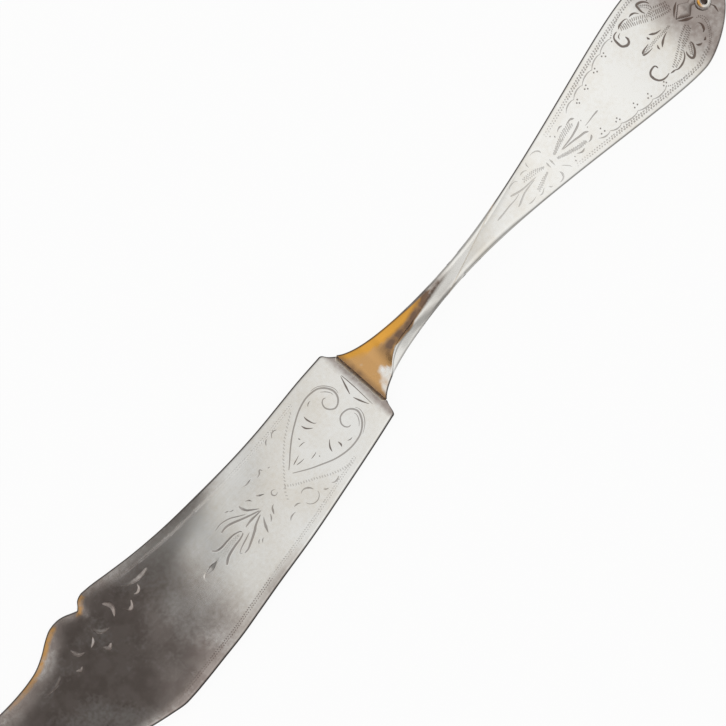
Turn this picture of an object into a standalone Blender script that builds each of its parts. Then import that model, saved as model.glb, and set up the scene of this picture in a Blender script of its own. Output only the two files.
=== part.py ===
"""Butter knife: a plate blade let into a quarter-twisted neck, and an arched handle with a riveted rosette.

Metres, +Z up. The back of the blade lies on z = 0, the engraved side faces up, the handle points to +X
and the spine of the blade to +Y.
"""

import math

import bmesh
import bpy
from mathutils import Matrix, Vector

MM = 0.001

# Blade, from the root line where it meets the neck. Heights and depths are from the handle's axis.
BLADE_LENGTH = 90.65 * MM
SPINE_HEIGHT = 11.5 * MM
EDGE_DEPTH = 14.1 * MM
BLADE_THICK = 1.4 * MM
EDGE_THICK = 0.8 * MM
EDGE_BEVEL = 1.3 * MM
SPINE_BEVEL = 0.9 * MM
SPINE_BEVEL_DROP = 0.45 * MM
TONGUE_LENGTH = 4.6 * MM
TONGUE_WIDTH = 4.6 * MM
TONGUE_DRESSING = 0.1 * MM

# Lengths of the shank: flare from the root to the waist, spread to the widest place, and rounded end.
FLARE_LENGTH = 23.0 * MM
SPREAD_LENGTH = 53.4 * MM
END_LENGTH = 12.95 * MM
SHANK_LENGTH = FLARE_LENGTH + SPREAD_LENGTH + END_LENGTH

# Neck and handle.
ROOT_WIDTH = 11.2 * MM
ROOT_THICK = 2.5 * MM
NECK_WIDTH = 3.42 * MM
NECK_THICK = 3.6 * MM
HANDLE_WIDTH = 18.2 * MM
HANDLE_THICK = 1.7 * MM
ARCH_RISE = 3.6 * MM
TWIST_ANGLE = math.radians(90)
CORNER_ROUND = 0.2
SCARF_ANGLE = math.radians(15)

# Places along the shank. The twist's end and the scarf are past the waist, the rosette before the end.
FLAT_ROOT = 3.6 * MM
TWIST_PAST_WAIST = 5.6 * MM
SCARF_PAST_WAIST = 3.2 * MM
ARCH_PAST_WAIST = 21.2 * MM
THIN_PAST_WAIST = 39.2 * MM
ROSETTE_FROM_END = 5.05 * MM

# Solder.
SOLDER_FILM = 0.15 * MM
SEAM_WIDTH = 0.9 * MM

# Rosette and its hollow rivets.
ROSETTE_THICK = 0.5 * MM
ROSETTE_EDGE = 0.12 * MM
LEAF_LENGTH = 5.3 * MM
LEAF_WIDTH = 2.8 * MM
PETAL_LENGTH = 4.0 * MM
PETAL_WIDTH = 2.4 * MM
EYE_SPACING = 2.9 * MM
EYE_RADIUS = 1.2 * MM
RIVET_BORE = 0.55 * MM
RIVET_WALL = 0.28 * MM
RIVET_HEAD = 0.4 * MM
RIVET_TAIL = 0.2 * MM
RIVET_FLARE = 0.15 * MM

# One clearance for every pair of pieces that meet.
FIT_GAP = 0.1 * MM

# Length over which the slope of the handle's front is taken.
SLOPE_SPAN = 0.5 * MM

# The box round the knife is centred on the origin.
ROOT_X = (BLADE_LENGTH - SHANK_LENGTH) / 2
AXIS_Y = (EDGE_DEPTH - SPINE_HEIGHT) / 2

# Places from the root line.
TWIST_END = FLARE_LENGTH + TWIST_PAST_WAIST
SCARF = FLARE_LENGTH + SCARF_PAST_WAIST
ARCH_TOP = FLARE_LENGTH + ARCH_PAST_WAIST
THIN = FLARE_LENGTH + THIN_PAST_WAIST
WIDEST = FLARE_LENGTH + SPREAD_LENGTH
ROSETTE = SHANK_LENGTH - ROSETTE_FROM_END

# Outlines of the blade: share of the length from the root line, share of the spine's height or edge's depth.
SHOULDER_SPINE = ((0.0, 0.470), (0.006, 0.513), (0.013, 0.574), (0.018, 0.639), (0.0215, 0.657), (0.027, 0.660))
SPINE = ((0.027, 0.660), (0.084, 0.660), (0.140, 0.644), (0.195, 0.629), (0.250, 0.630), (0.360, 0.674),
         (0.470, 0.752), (0.526, 0.820), (0.581, 0.909), (0.619, 0.974), (0.639, 0.997))
NOTCH_FRONT = ((0.639, 0.997), (0.650, 0.978), (0.656, 0.952), (0.661, 0.909), (0.668, 0.865))
NOTCH_BACK = ((0.668, 0.865), (0.680, 0.913), (0.691, 0.958), (0.704, 0.991), (0.717, 1.0))
SPINE_TIP = ((0.717, 1.0), (0.730, 0.987), (0.746, 0.938), (0.774, 0.825), (0.802, 0.743), (0.829, 0.712),
             (0.857, 0.702), (0.884, 0.705), (0.917, 0.726), (0.950, 0.761), (0.972, 0.778), (0.988, 0.757),
             (0.996, 0.700), (1.0, 0.648))
SHOULDER_EDGE = ((0.0, 0.415), (0.003, 0.454), (0.0055, 0.511), (0.008, 0.557), (0.0105, 0.578), (0.016, 0.587))
EDGE = ((0.016, 0.587), (0.057, 0.629), (0.167, 0.728), (0.277, 0.819), (0.388, 0.886), (0.443, 0.924),
        (0.498, 0.961), (0.553, 0.979), (0.608, 0.996), (0.642, 1.0), (0.664, 0.994), (0.691, 0.952),
        (0.730, 0.879), (0.774, 0.780), (0.818, 0.645), (0.862, 0.461), (0.906, 0.220), (0.950, -0.067),
        (0.980, -0.287), (0.993, -0.394), (1.0, -0.465))

# Spans of the blade, by shares of its length, and the rings in each: close at shoulders, notch and point.
BLADE_RINGS = ((0.0, 0.027, 10), (0.027, 0.6, 28), (0.6, 0.668, 14), (0.668, 0.8, 18),
               (0.8, 0.95, 12), (0.95, 1.0, 6))


def clear_scene():
    for old in list(bpy.data.objects):
        bpy.data.objects.remove(old, do_unlink=True)
    for old in list(bpy.data.collections):
        bpy.data.collections.remove(old)


def new_collection(name):
    made = bpy.data.collections.new(name)
    bpy.context.scene.collection.children.link(made)
    return made


def metal(name, colour, roughness):
    """A plain metal of this linear colour."""
    made = bpy.data.materials.new(name)
    made.use_nodes = True
    shader = made.node_tree.nodes["Principled BSDF"]
    shader.inputs["Base Color"].default_value = (*colour, 1)
    shader.inputs["Metallic"].default_value = 1
    shader.inputs["Roughness"].default_value = roughness
    return made


def object_from(bm, name, collection, material=None):
    """A mesh object from a finished bmesh, with its faces turned outwards."""
    bmesh.ops.recalc_face_normals(bm, faces=bm.faces)
    mesh = bpy.data.meshes.new(name)
    bm.to_mesh(mesh)
    bm.free()
    made = bpy.data.objects.new(name, mesh)
    collection.objects.link(made)
    if material:
        mesh.materials.append(material)
    return made


def cutter(made):
    made.hide_render = True
    made.display_type = "WIRE"
    return made


def box(name, low, high, collection, turn=None):
    """A box between two corners, turned by a matrix if one is given."""
    bm = bmesh.new()
    bmesh.ops.create_cube(bm, size=1)
    low, high = Vector(low), Vector(high)
    size = high - low
    place = Matrix.Translation((low + high) / 2) @ Matrix.Diagonal((*size, 1))
    bm.transform(turn @ place if turn else place)
    return object_from(bm, name, collection)


def boolean(target, operation, other):
    cut = target.modifiers.new(operation.title(), "BOOLEAN")
    cut.operation = operation
    cut.solver = "EXACT"
    cut.object = other


def smoothstep(x, start, end):
    q = min(max((x - start) / (end - start), 0), 1)
    return q * q * (3 - 2 * q)


def curve_through(points):
    """A smooth function through the points: cubic pieces that share their slopes."""
    xs = [p[0] for p in points]
    ys = [p[1] for p in points]
    rise = [(ys[i + 1] - ys[i]) / (xs[i + 1] - xs[i]) for i in range(len(xs) - 1)]
    slopes = [rise[0]]
    for i in range(1, len(rise)):
        before, after = xs[i] - xs[i - 1], xs[i + 1] - xs[i]
        slopes.append((rise[i - 1] * after + rise[i] * before) / (before + after))
    slopes.append(rise[-1])

    def value(x):
        i = 0
        while i < len(rise) - 1 and x > xs[i + 1]:
            i += 1
        step = xs[i + 1] - xs[i]
        q = (x - xs[i]) / step
        return (ys[i] * (1 + 2 * q) * (1 - q) ** 2 + ys[i + 1] * q * q * (3 - 2 * q)
                + step * q * (1 - q) * (slopes[i] * (1 - q) - slopes[i + 1] * q))

    return value


def joined(*pieces):
    """One function from outline pieces that follow each other, with a corner where two pieces meet."""
    parts = [(piece[-1][0], curve_through(piece)) for piece in pieces]

    def value(x):
        for end, part in parts:
            if x <= end:
                return part(x)
        return parts[-1][1](x)

    return value


spine_share = joined(SHOULDER_SPINE, SPINE, NOTCH_FRONT, NOTCH_BACK, SPINE_TIP)
edge_share = joined(SHOULDER_EDGE, EDGE)


def bezier(a, b, c, d, count):
    """Points on a cubic curve, without its last point."""
    found = []
    for i in range(count):
        t = i / count
        found.append(tuple((1 - t) ** 3 * p + 3 * (1 - t) ** 2 * t * q + 3 * (1 - t) * t * t * r + t ** 3 * s
                           for p, q, r, s in zip(a, b, c, d)))
    return found


def shank_outline():
    """Distance from the root line and half width: flare, narrow waist, widening handle and rounded end."""
    start = FIT_GAP
    root, waist, wide = ROOT_WIDTH / 2, NECK_WIDTH / 2, HANDLE_WIDTH / 2
    reach = FLARE_LENGTH - start
    flare = bezier((start, root), (start + 0.12 * reach, waist + 0.30 * (root - waist)),
                   (start + 0.55 * reach, waist), (FLARE_LENGTH, waist), 26)
    body = bezier((FLARE_LENGTH, waist), (FLARE_LENGTH + 0.34 * SPREAD_LENGTH, waist),
                  (WIDEST - 0.17 * SPREAD_LENGTH, wide), (WIDEST, wide), 30)
    tip = bezier((WIDEST, wide), (WIDEST + 0.28 * END_LENGTH, wide), (SHANK_LENGTH, 0.54 * wide),
                 (SHANK_LENGTH, 0), 24)
    return flare + body + tip


def half_thickness(x):
    grown = ROOT_THICK + (NECK_THICK - ROOT_THICK) * smoothstep(x, FLAT_ROOT, 0.6 * FLARE_LENGTH)
    return (grown + (HANDLE_THICK - NECK_THICK) * smoothstep(x, 0.85 * FLARE_LENGTH, THIN)) / 2


def underside(x):
    """Height of the shank's underside: flat at the root, arched, and down on the table at the handle's end."""
    if x < ARCH_TOP:
        return ARCH_RISE * smoothstep(x, FLAT_ROOT, ARCH_TOP)
    return ARCH_RISE * (1 - ((x - ARCH_TOP) / (SHANK_LENGTH - ARCH_TOP)) ** 2)


def twist(x):
    """Angle that the square section has turned at this distance: none at the root, all past the waist."""
    q = min(max((x - FLAT_ROOT) / (TWIST_END - FLAT_ROOT), 0), 1)
    return TWIST_ANGLE * (0.7 * q + 0.3 * q * q * (3 - 2 * q))


def shank_section(angle):
    """Square of half side 1 with rounded corners, turned by the angle and brought back to half width 1."""
    points = []
    for quarter in range(4):
        for step in range(4):
            turn = math.radians(90 * quarter + 30 * step)
            corner = math.radians(90 * quarter + 45)
            middle = (1 - CORNER_ROUND) * math.sqrt(2)
            points.append((middle * math.cos(corner) + CORNER_ROUND * math.cos(turn),
                           middle * math.sin(corner) + CORNER_ROUND * math.sin(turn)))
        side = math.radians(90 * quarter + 90)
        points.append((math.cos(side), math.sin(side)))
    cos, sin = math.cos(angle), math.sin(angle)
    turned = [(y * cos + z * sin, z * cos - y * sin) for y, z in points]
    wide = max(y for y, z in turned)
    high = max(z for y, z in turned)
    return [(y / wide, z / high) for y, z in turned]


def loft(rings, name, collection, material=None):
    """A closed skin over rings of points, all of one count."""
    bm = bmesh.new()
    made = [[bm.verts.new(point) for point in ring] for ring in rings]
    count = len(made[0])
    for one, two in zip(made, made[1:]):
        for i in range(count):
            j = (i + 1) % count
            bm.faces.new((one[i], one[j], two[j], two[i]))
    bm.faces.new(made[0])
    bm.faces.new(made[-1])
    return object_from(bm, name, collection, material)


def shank(name, low, high, collection, material=None):
    """The stretch of neck and handle between two distances from the root line."""
    rings = []
    for x, half in shank_outline():
        if not low <= x <= high:
            continue
        thick = half_thickness(x)
        middle = underside(x) + thick
        rings.append([(ROOT_X + x, AXIS_Y + half * y, middle + thick * z) for y, z in shank_section(twist(x))])
    return loft(rings, name, collection, material)


def blade_section(share):
    """The blade's section: flat back, chamfered spine, flat face and ground strip along the cutting edge."""
    top = SPINE_HEIGHT * spine_share(share)
    low = -EDGE_DEPTH * edge_share(share)
    fade = min(1, (top - low) / (2 * (EDGE_BEVEL + SPINE_BEVEL)))
    ground = (0.1 + 0.9 * smoothstep(share, 0.02, 0.25)) * fade
    spine = (0.25 + 0.75 * smoothstep(share, 0.2, 0.6)) * fade
    edge_z = BLADE_THICK - (BLADE_THICK - EDGE_THICK) * ground
    spine_z = BLADE_THICK - SPINE_BEVEL_DROP * spine
    x = ROOT_X - BLADE_LENGTH * share
    outline = ((low, 0), (top, 0), (top, spine_z), (top - SPINE_BEVEL * spine, BLADE_THICK),
               (low + EDGE_BEVEL * ground, BLADE_THICK), (low, edge_z))
    return [(x, AXIS_Y + y, z) for y, z in outline]


def blade_stations():
    """Shares of the length at which the blade has a ring."""
    found = []
    for start, end, count in BLADE_RINGS:
        found += [start + (end - start) * i / count for i in range(count)]
    return found + [1.0]


def face_frame(x):
    """Matrix that puts local X along the shank and local Z out of its front at this distance."""
    def front(at):
        return underside(at) + 2 * half_thickness(at)

    slope = (front(x + SLOPE_SPAN / 2) - front(x - SLOPE_SPAN / 2)) / SLOPE_SPAN
    tilt = Matrix.Rotation(-math.atan(slope), 4, "Y")
    return Matrix.Translation((ROOT_X + x, AXIS_Y, front(x))) @ tilt


def prism(points, low, high, name, collection, material=None):
    """A filled outline drawn as a curve, between two heights."""
    curve = bpy.data.curves.new(name, "CURVE")
    curve.dimensions = "2D"
    curve.fill_mode = "BOTH"
    curve.extrude = (high - low) / 2
    spline = curve.splines.new("POLY")
    spline.points.add(len(points) - 1)
    for point, (x, y) in zip(spline.points, points):
        point.co = (x, y, 0, 1)
    spline.use_cyclic_u = True
    drawn = bpy.data.objects.new(name, curve)
    collection.objects.link(drawn)
    bpy.context.view_layer.update()
    mesh = bpy.data.meshes.new_from_object(drawn)
    bpy.data.objects.remove(drawn, do_unlink=True)
    bm = bmesh.new()
    bm.from_mesh(mesh)
    bmesh.ops.remove_doubles(bm, verts=bm.verts, dist=0.001 * MM)
    bmesh.ops.translate(bm, verts=bm.verts, vec=(0, 0, (low + high) / 2))
    return object_from(bm, name, collection, material)


def rosette_outline():
    """Lozenge leaf towards the neck, a round lug at each eye and a petal towards the handle's end."""
    lug = EYE_RADIUS + 2 * FIT_GAP
    eye = EYE_SPACING / 2
    upper = [(-LEAF_LENGTH, 0), (-0.55 * LEAF_LENGTH, LEAF_WIDTH / 2)]
    for step in range(13):
        turn = math.radians(215 - 250 * step / 12)
        upper.append((lug * math.cos(turn), eye + lug * math.sin(turn)))
    upper += [(0.6 * PETAL_LENGTH, PETAL_WIDTH / 2), (PETAL_LENGTH, 0)]
    lower = [(x, -y) for x, y in reversed(upper[1:-1])]
    return upper + lower


def revolved(profile, place, name, collection, material=None, steps=32):
    """A closed profile of radius and height turned once round local Z."""
    bm = bmesh.new()
    verts = [bm.verts.new((r, 0, z)) for r, z in profile]
    for i, vert in enumerate(verts):
        bm.edges.new((vert, verts[(i + 1) % len(verts)]))
    mesh = bpy.data.meshes.new(name)
    bm.to_mesh(mesh)
    bm.free()
    made = bpy.data.objects.new(name, mesh)
    made.matrix_world = place
    collection.objects.link(made)
    if material:
        mesh.materials.append(material)
    turn = made.modifiers.new("Turned", "SCREW")
    turn.axis = "Z"
    turn.steps = steps
    turn.render_steps = steps
    turn.use_merge_vertices = True
    turn.merge_threshold = 0.00001
    turn.use_normal_flip = True
    return made


def drill(radius, reach, place, name, collection):
    """A cylinder along local Z, through to both sides."""
    bm = bmesh.new()
    bmesh.ops.create_cone(bm, cap_ends=True, segments=32, radius1=radius, radius2=radius, depth=2 * reach)
    bm.transform(place)
    return object_from(bm, name, collection)


clear_scene()
knife = new_collection("butter_knife")
helpers = new_collection("cutters")
helpers.hide_render = True

plate = metal("silver plate", (0.80, 0.79, 0.75), 0.28)
worn = metal("silver plate worn to brass", (0.62, 0.44, 0.18), 0.32)
solder = metal("tarnished hard solder", (0.16, 0.12, 0.09), 0.45)
bright = metal("bright rivet", (0.72, 0.70, 0.64), 0.25)

# Blade, with its tongue dressed thinner than the plate.
blade = loft([blade_section(share) for share in blade_stations()], "blade", knife, plate)
half_tongue = TONGUE_WIDTH / 2
tongue = cutter(box("tongue", (ROOT_X - TONGUE_LENGTH, AXIS_Y - half_tongue, TONGUE_DRESSING),
                    (ROOT_X + TONGUE_LENGTH, AXIS_Y + half_tongue, BLADE_THICK - TONGUE_DRESSING), helpers))
boolean(blade, "UNION", tongue)

# Neck, with the pocket for tongue and solder cut into its back.
FILM_LOW = BLADE_THICK + FIT_GAP
POCKET_TOP = FILM_LOW + SOLDER_FILM + FIT_GAP
POCKET_END = TONGUE_LENGTH + FIT_GAP
POCKET_HALF = half_tongue + FIT_GAP
FAR = 4 * HANDLE_WIDTH
neck = shank("twisted_neck", 0, WIDEST, knife, worn)
pocket = cutter(box("pocket", (ROOT_X - TONGUE_LENGTH, AXIS_Y - POCKET_HALF, -POCKET_TOP),
                    (ROOT_X + POCKET_END, AXIS_Y + POCKET_HALF, POCKET_TOP), helpers))
boolean(neck, "DIFFERENCE", pocket)

# Scarf between neck and handle: an upright plane across the waist, with the film of solder in it.
scarf = Matrix.Translation((ROOT_X + SCARF, AXIS_Y, 0)) @ Matrix.Rotation(SCARF_ANGLE, 4, "Z")
HALF_FILM = SOLDER_FILM / 2
handle_side = box("handle_side", (-FAR, -FAR, -FAR), (FAR, HALF_FILM + FIT_GAP, FAR), helpers, scarf)
boolean(neck, "DIFFERENCE", cutter(handle_side))
handle = shank("handle", FLAT_ROOT, SHANK_LENGTH, knife, plate)
neck_side = box("neck_side", (-FAR, -HALF_FILM - FIT_GAP, -FAR), (FAR, FAR, FAR), helpers, scarf)
boolean(handle, "DIFFERENCE", cutter(neck_side))
film = shank("scarf_solder", FLAT_ROOT, THIN, knife, solder)
film_slab = box("film_slab", (-FAR, -HALF_FILM, -FAR), (FAR, HALF_FILM, FAR), helpers, scarf)
boolean(film, "INTERSECT", cutter(film_slab))

# Solder at the root: a hollow fillet across the face of the blade, and the film above the tongue.
seam_top = ROOT_THICK - FIT_GAP
seam = [(-SEAM_WIDTH, FILM_LOW), (0, FILM_LOW), (0, seam_top)]
for step in range(1, 6):
    turn = math.radians(90 * step / 6)
    fall = (1 - math.cos(turn)) ** 0.5 * math.sin(turn)
    seam.append((-SEAM_WIDTH * math.sin(turn), seam_top - (seam_top - FILM_LOW) * fall))
stand = Matrix.Translation((ROOT_X, AXIS_Y, 0)) @ Matrix.Rotation(math.radians(90), 4, "X")
half_seam = ROOT_WIDTH / 2 - 2 * FIT_GAP
root = prism(seam, -half_seam, half_seam, "root_solder", knife, solder)
root.matrix_world = stand
film_end = ROOT_X + TONGUE_LENGTH - FIT_GAP
above = cutter(box("film_above_tongue", (ROOT_X - SEAM_WIDTH / 3, AXIS_Y - half_tongue, FILM_LOW),
                   (film_end, AXIS_Y + half_tongue, FILM_LOW + SOLDER_FILM), helpers))
boolean(root, "UNION", above)

# Rosette on the front near the handle's end, held by two hollow rivets.
on_front = face_frame(ROSETTE)
rosette = prism(rosette_outline(), FIT_GAP, FIT_GAP + ROSETTE_THICK, "terminal_rosette", knife, plate)
rosette.matrix_world = on_front
edge = rosette.modifiers.new("Softened edge", "BEVEL")
edge.width = ROSETTE_EDGE
edge.segments = 2
edge.limit_method = "ANGLE"
edge.angle_limit = math.radians(50)
head_low = 2 * FIT_GAP + ROSETTE_THICK
head_top = head_low + RIVET_HEAD
tail_top = -2 * half_thickness(ROSETTE) - FIT_GAP
tail_low = tail_top - RIVET_TAIL
shaft = RIVET_BORE + RIVET_WALL
crown = (RIVET_BORE + EYE_RADIUS) / 2
flared = shaft + RIVET_FLARE
rivet = [(RIVET_BORE, tail_low), (flared, tail_low), (flared, tail_top), (shaft, tail_top),
         (shaft, head_low), (EYE_RADIUS, head_low), (EYE_RADIUS, head_low + 0.4 * RIVET_HEAD),
         (crown + 0.5 * (EYE_RADIUS - crown), head_top), (crown - 0.5 * (crown - RIVET_BORE), head_top),
         (RIVET_BORE, head_low + 0.5 * RIVET_HEAD)]
for side, word in ((1, "spine"), (-1, "edge")):
    place = on_front @ Matrix.Translation((0, side * EYE_SPACING / 2, 0))
    revolved(rivet, place, f"rosette_rivet_{word}", knife, bright)
    hole = cutter(drill(shaft + FIT_GAP, 4 * NECK_THICK, place, f"rivet_hole_{word}", helpers))
    boolean(rosette, "DIFFERENCE", hole)
    boolean(handle, "DIFFERENCE", hole)
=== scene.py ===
"""Looks of a silver-plated butter knife: engraved blade and handle, worn neck, solder, rosette and rivets.

Metres, +Z up. The blade's back lies on the table, the handle points to +X and the spine of the blade to +Y.
The shapes are worked out in millimetres and become metres when a mesh is made.
"""

import functools
import math

import bmesh
import bpy
import numpy as np
from mathutils import Color, Matrix, Vector
from mathutils.geometry import delaunay_2d_cdt
from numpy.linalg import norm


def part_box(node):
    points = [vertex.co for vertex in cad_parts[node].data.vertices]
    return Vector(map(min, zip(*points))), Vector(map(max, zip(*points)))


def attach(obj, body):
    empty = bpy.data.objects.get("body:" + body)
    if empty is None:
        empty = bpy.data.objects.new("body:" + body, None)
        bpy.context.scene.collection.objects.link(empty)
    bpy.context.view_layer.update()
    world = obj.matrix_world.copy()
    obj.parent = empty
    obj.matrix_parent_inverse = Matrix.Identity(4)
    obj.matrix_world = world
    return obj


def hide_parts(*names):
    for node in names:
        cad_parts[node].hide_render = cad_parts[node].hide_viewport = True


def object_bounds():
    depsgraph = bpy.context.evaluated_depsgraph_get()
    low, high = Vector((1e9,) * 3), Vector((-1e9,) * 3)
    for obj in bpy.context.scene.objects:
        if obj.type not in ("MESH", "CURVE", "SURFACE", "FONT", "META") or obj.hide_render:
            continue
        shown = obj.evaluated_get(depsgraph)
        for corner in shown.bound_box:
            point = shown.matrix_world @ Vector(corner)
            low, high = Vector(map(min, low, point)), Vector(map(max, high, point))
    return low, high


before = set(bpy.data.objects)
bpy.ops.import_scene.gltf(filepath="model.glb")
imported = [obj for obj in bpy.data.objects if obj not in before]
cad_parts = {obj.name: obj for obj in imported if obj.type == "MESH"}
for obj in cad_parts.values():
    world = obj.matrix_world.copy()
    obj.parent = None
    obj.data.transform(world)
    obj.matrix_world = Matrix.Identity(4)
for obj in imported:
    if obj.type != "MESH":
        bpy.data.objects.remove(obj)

bl_info = {
    "name": "Butter knife",
    "version": (1, 0, 0),
    "blender": (4, 5, 0),
    "location": "View3D > Sidebar > Knife",
    "description": "Builds the engraved, silver-plated butter knife round its solids",
    "category": "Add Mesh",
}

MM = 0.001
CAD_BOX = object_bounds()
BLADE_LOW, BLADE_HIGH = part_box("blade")
NECK_LOW, NECK_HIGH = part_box("twisted_neck")
HANDLE_LOW, HANDLE_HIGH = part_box("handle")
TONGUE = 4.6 * MM
ROOT_LINE = BLADE_HIGH.x - TONGUE
AXIS = (HANDLE_LOW.y + HANDLE_HIGH.y) / 2
# The same two in millimetres.
ROOT_X, AXIS_Y = ROOT_LINE / MM, AXIS / MM


def linear(code):
    """Linear colour of an sRGB hex value."""
    shares = [int(code[i:i + 2], 16) / 255 for i in (0, 2, 4)]
    return tuple(s / 12.92 if s <= 0.04045 else ((s + 0.055) / 1.055) ** 2.4 for s in shares)


def length(name, description, millimetres):
    """A property that holds a length."""
    return bpy.props.FloatProperty(name=name, description=description, default=millimetres * MM,
                                   unit="LENGTH", precision=5)


def angular(name, description, degrees):
    """A property that holds an angle."""
    return bpy.props.FloatProperty(name=name, description=description, default=math.radians(degrees),
                                   subtype="ANGLE")


def colour(name, description, code):
    """A property that holds a colour."""
    return bpy.props.FloatVectorProperty(name=name, description=description, default=linear(code),
                                         subtype="COLOR", size=3, min=0, max=1)


class KnifeSizes(bpy.types.PropertyGroup):
    """Sizes of the knife. Those that the solids show come from their boxes."""

    blade_length: length("Blade length", "From the root line to the point", (ROOT_LINE - BLADE_LOW.x) / MM)
    spine_height: length("Spine height", "From the handle's axis to the top of the spine",
                         (BLADE_HIGH.y - AXIS) / MM)
    edge_depth: length("Edge depth", "From the handle's axis to the lowest place of the edge",
                       (AXIS - BLADE_LOW.y) / MM)
    blade_thick: length("Blade thickness", "Thickness of the plate", BLADE_HIGH.z / MM)
    spine_sag: length("Spine sag", "How far the front falls off towards the spine near the point", 0.25)
    spine_strip: length("Spine strip", "Width of the strip that falls off towards the spine", 5.2)
    edge_sag: length("Edge sag", "How far the front falls off towards the edge near the point", 0.075)
    edge_strip: length("Edge strip", "Width of the strip that falls off towards the edge", 2.4)
    edge_thick: length("Edge thickness", "Thickness left at the cutting edge", 1.15)
    edge_bevel: length("Edge bevel", "Width of the strip ground along the edge", 0.35)
    rim_round: length("Rim rounding", "Rounding of the blade's rims", 0.22)
    tongue_length: length("Tongue length", "Length of the tongue let into the neck", TONGUE / MM)
    tongue_width: length("Tongue width", "Width of the tongue let into the neck", 4.6)
    tongue_dressing: length("Tongue dressing", "Taken off each face of the tongue", 0.1)
    fit_gap: length("Fit gap", "Clearance between pieces that meet", (NECK_LOW.x - ROOT_LINE) / MM)
    flare_length: length("Flare length", "From the root line to the narrow waist", 23.0)
    spread_length: length("Spread length", "From the waist to the handle's widest place", 53.4)
    end_length: length("End length", "From the widest place to the handle's end", 12.95)
    root_width: length("Root width", "Width of the neck at the root line", (NECK_HIGH.y - NECK_LOW.y) / MM)
    root_thick: length("Root thickness", "Thickness of the neck at the root line", 2.5)
    neck_width: length("Neck width", "Width of the waist", 3.42)
    neck_thick: length("Neck thickness", "Thickness of the neck at its fullest", 3.6)
    handle_width: length("Handle width", "Width at the widest place", (HANDLE_HIGH.y - HANDLE_LOW.y) / MM)
    handle_thick: length("Handle thickness", "Thickness of the flat handle", 1.7)
    arch_rise: length("Arch rise", "Height of the underside at the top of the arch", 3.6)
    flat_root: length("Flat root", "Length of neck that isn't twisted yet", 3.6)
    twist_past: length("Twist past the waist", "Where the quarter turn ends", 5.6)
    scarf_past: length("Scarf past the waist", "Where the scarf crosses the axis", 3.2)
    arch_past: length("Arch past the waist", "Where the arch is highest", 21.2)
    thin_past: length("Thin past the waist", "Where the handle has its flat thickness", 39.2)
    rosette_inset: length("Rosette inset", "From the rivets to the handle's end", 5.05)
    solder_film: length("Solder film", "Thickness of solder in the scarf", 0.15)
    seam_width: length("Seam width", "Width of the solder fillet on the blade", 0.7)
    edge_round: length("Edge rounding", "Rounding of the handle's edges", 0.42)
    neck_round: length("Neck rounding", "Rounding of the corners at the waist", 1.2)
    leaf_length: length("Leaf length", "Length of the rosette's leaf from the rivets", 5.3)
    leaf_width: length("Leaf width", "Width of the rosette's leaf", 2.8)
    petal_length: length("Petal length", "Length of the rosette's petal from the rivets", 4.0)
    petal_width: length("Petal width", "Width of the rosette's petal", 2.4)
    rosette_thick: length("Rosette thickness", "Thickness of the rosette at the rivets", 0.5)
    eye_spacing: length("Eye spacing", "Distance between the two rivets", 2.9)
    eye_radius: length("Eye radius", "Radius of a rivet's head", 1.2)
    rivet_bore: length("Rivet bore", "Radius of the hole through a rivet", 0.55)
    rivet_wall: length("Rivet wall", "Thickness of a rivet's shaft", 0.28)
    rivet_head: length("Rivet head", "Height of a rivet's head", 0.4)
    rivet_tail: length("Rivet tail", "Height of a rivet's clenched end", 0.2)
    camera_height: length("Camera height", "Camera above the blade's face", 300)
    picture_width: length("Picture width", "Width of blade level that the picture shows", 121)
    twist_angle: angular("Twist", "Turn of the neck", 90)
    scarf_angle: angular("Scarf angle", "Angle of the scarf to the axis", 15)
    graver_angle: angular("Graver angle", "Slope of an engraved cut's walls", 25)


class KnifeColours(bpy.types.PropertyGroup):
    """Colours of the finishes and of the stage."""

    silver: colour("Silver", "Burnished silver plate", "E9E8E4")
    warm_film: colour("Warm film", "Silver under a thin film of tarnish", "DDD7CC")
    # These two colours of thick tarnish also paint dark reflection towards the blade's point and the handle's
    # end, and shade beside the root solder.
    deep_tarnish_and_shade: colour("Deep tarnish", "Silver under a thick film of tarnish", "A69C96")
    smoke: colour("Smoke", "Darkest clouds in the thick tarnish", "968B85")
    # Painted shade on the narrow sides, with some tarnish.
    side_tarnish_and_shade: colour("Edge tarnish", "Dark tarnish on the narrow sides", "3E3834")
    patina: colour("Patina", "Dirt and tarnish in the engraved cuts", "523F35")
    # Brass also paints an amber reflection where the spine, the neck and the rivets face one way.
    brass_and_amber_reflection: colour("Brass", "Base metal where the plate has worn through", "D89E46")
    tan_brass: colour("Dull brass", "Base metal with a brown film", "C89E6C")
    # The stain also paints shade: along the neck's ridge, above its brass, at its root, on its side towards
    # the edge, and in the rivets' bores.
    stain: colour("Stain", "Brown stain in the turn of the neck", "6B574B")
    solder: colour("Solder", "Tarnished hard solder", "6E5C52")
    floor: colour("Floor", "Pale paper under the knife", "F4F4F2")
    felt: colour("Felt", "Dark felt over the stage, which the blade mirrors", "979595")


class Millimetres:
    """The sizes in millimetres, by name."""

    def __getattr__(self, name):
        return getattr(bpy.context.scene.knife_sizes, name) / MM

    def angle(self, name):
        return getattr(bpy.context.scene.knife_sizes, name)


size = Millimetres()

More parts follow.
